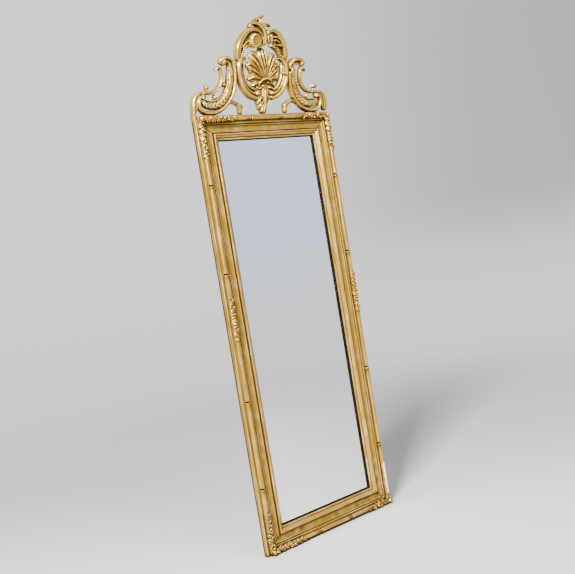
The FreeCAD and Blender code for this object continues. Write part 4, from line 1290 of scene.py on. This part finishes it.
def room_light(colours):
    """Pale room where it is seen or reflected, dark to the far right and elsewhere."""
    world = bpy.data.worlds.new("pale_room")
    room = Nodes(world)
    towards = room.node("ShaderNodeTexCoord", output="Generated")

    def side(direction, low, high):
        """1 towards a direction, 0 away from it, smooth between two cosines."""
        cosine = room.node("ShaderNodeVectorMath", {"operation": "DOT_PRODUCT"},
                           {0: towards, 1: direction}, "Value")
        return cosine.stepped(low, high)

    wall, wall_right = (0.80, 0.795, 0.795), (0.42, 0.413, 0.406)
    behind_viewer, dark_right = (0.17, 0.17, 0.175), (0.05, 0.05, 0.052)
    in_glass, underfoot = (0.665, 0.745, 0.905), (0.74, 0.74, 0.745)
    seen = room.mixed(side((0.98, -0.2, 0.0), 0.35, 0.70), wall, wall_right)
    colour = room.mixed(side((0.63, 0.78, -0.05), 0.45, 0.88), behind_viewer, seen)
    colour = room.mixed(side((0.95, -0.2, 0.2), 0.70, 0.97), colour, dark_right)
    colour = room.mixed(side((0.6, -0.8, 0.0), 0.80, 0.92), colour, in_glass)
    colour = room.mixed(side((0.0, 0.0, -1.0), -0.04, 0.10), colour, underfoot)
    shader = room.node("ShaderNodeBackground", inputs={"Color": colour, "Strength": 1.65})
    room.node("ShaderNodeOutputWorld", inputs={"Surface": shader})
    bpy.context.scene.world = world


# Lamps: name, place, size, watts and colour.
LAMPS = (
    ("window_left", (-2.8, -1.8, 2.9), (1.0, 1.4), 1010, (1.0, 0.975, 0.94)),
    ("high_front", (0.1, -2.5, 3.4), (1.5, 1.0), 130, (1.0, 1.0, 1.0)),
)
LAMPS_AIM = (0.0, 0.0, 0.85)
SENSOR_WIDTH, FOCAL_LENGTH = 36.0, 53.22
VIEWER = (-1.6024, BACK * MM - 1.9719, 0.8572)
# The camera's turn to the right, its dip below level and its roll, in degrees.
HEADING, DIP, ROLL = 38.98, 2.624, 9.4


class MIRROR_OT_stage(bpy.types.Operator):
    """Set the floor, the soft light and the camera"""

    bl_idname = "mirror.stage"
    bl_label = "Stage"

    def execute(self, context):
        colours = context.scene.mirror_colours
        studio_floor(colours)
        room_light(colours)
        for lamp in LAMPS:
            softbox(*lamp)
        lens = bpy.data.cameras.new("viewer")
        lens.sensor_width = SENSOR_WIDTH
        lens.lens = FOCAL_LENGTH
        viewer = bpy.data.objects.new("viewer", lens)
        context.scene.collection.objects.link(viewer)
        heading = Matrix.Rotation(math.radians(-HEADING), 3, "Z")
        level = Matrix.Rotation(math.radians(90 - DIP), 3, "X")
        roll = Matrix.Rotation(math.radians(-ROLL), 3, "Z")
        turned = (heading @ level @ roll).to_4x4()
        turned.translation = VIEWER
        viewer.matrix_world = turned
        context.scene.camera = viewer
        return {"FINISHED"}


STEPS = (
    MIRROR_OT_moulding, MIRROR_OT_corner_garlands, MIRROR_OT_side_garlands, MIRROR_OT_wings,
    MIRROR_OT_cartouche, MIRROR_OT_middle, MIRROR_OT_glass, MIRROR_OT_back, MIRROR_OT_stage,
)


class MIRROR_PT_sidebar(bpy.types.Panel):
    """Settings and steps of the pier mirror"""

    bl_idname = "MIRROR_PT_sidebar"
    bl_label = "Pier Mirror"
    bl_space_type = "VIEW_3D"
    bl_region_type = "UI"
    bl_category = "Pier Mirror"

    def draw(self, context):
        column = self.layout.column()
        for settings in (context.scene.mirror_sizes, context.scene.mirror_colours):
            for name in settings.__annotations__:
                column.prop(settings, name)
        for step in STEPS:
            column.operator(step.bl_idname)


CLASSES = (MirrorSizes, MirrorColours, *STEPS, MIRROR_PT_sidebar)


def register():
    """Register the classes and hang the settings on the scene."""
    for item in CLASSES:
        bpy.utils.register_class(item)
    bpy.types.Scene.mirror_sizes = bpy.props.PointerProperty(type=MirrorSizes)
    bpy.types.Scene.mirror_colours = bpy.props.PointerProperty(type=MirrorColours)


def unregister():
    """Take the settings and the classes away again."""
    del bpy.types.Scene.mirror_colours
    del bpy.types.Scene.mirror_sizes
    for item in reversed(CLASSES):
        bpy.utils.unregister_class(item)


def main():
    """Build every piece."""
    register()
    for step in STEPS:
        getattr(bpy.ops.mirror, step.bl_idname.split(".")[1])()


if __name__ == "__main__":
    main()
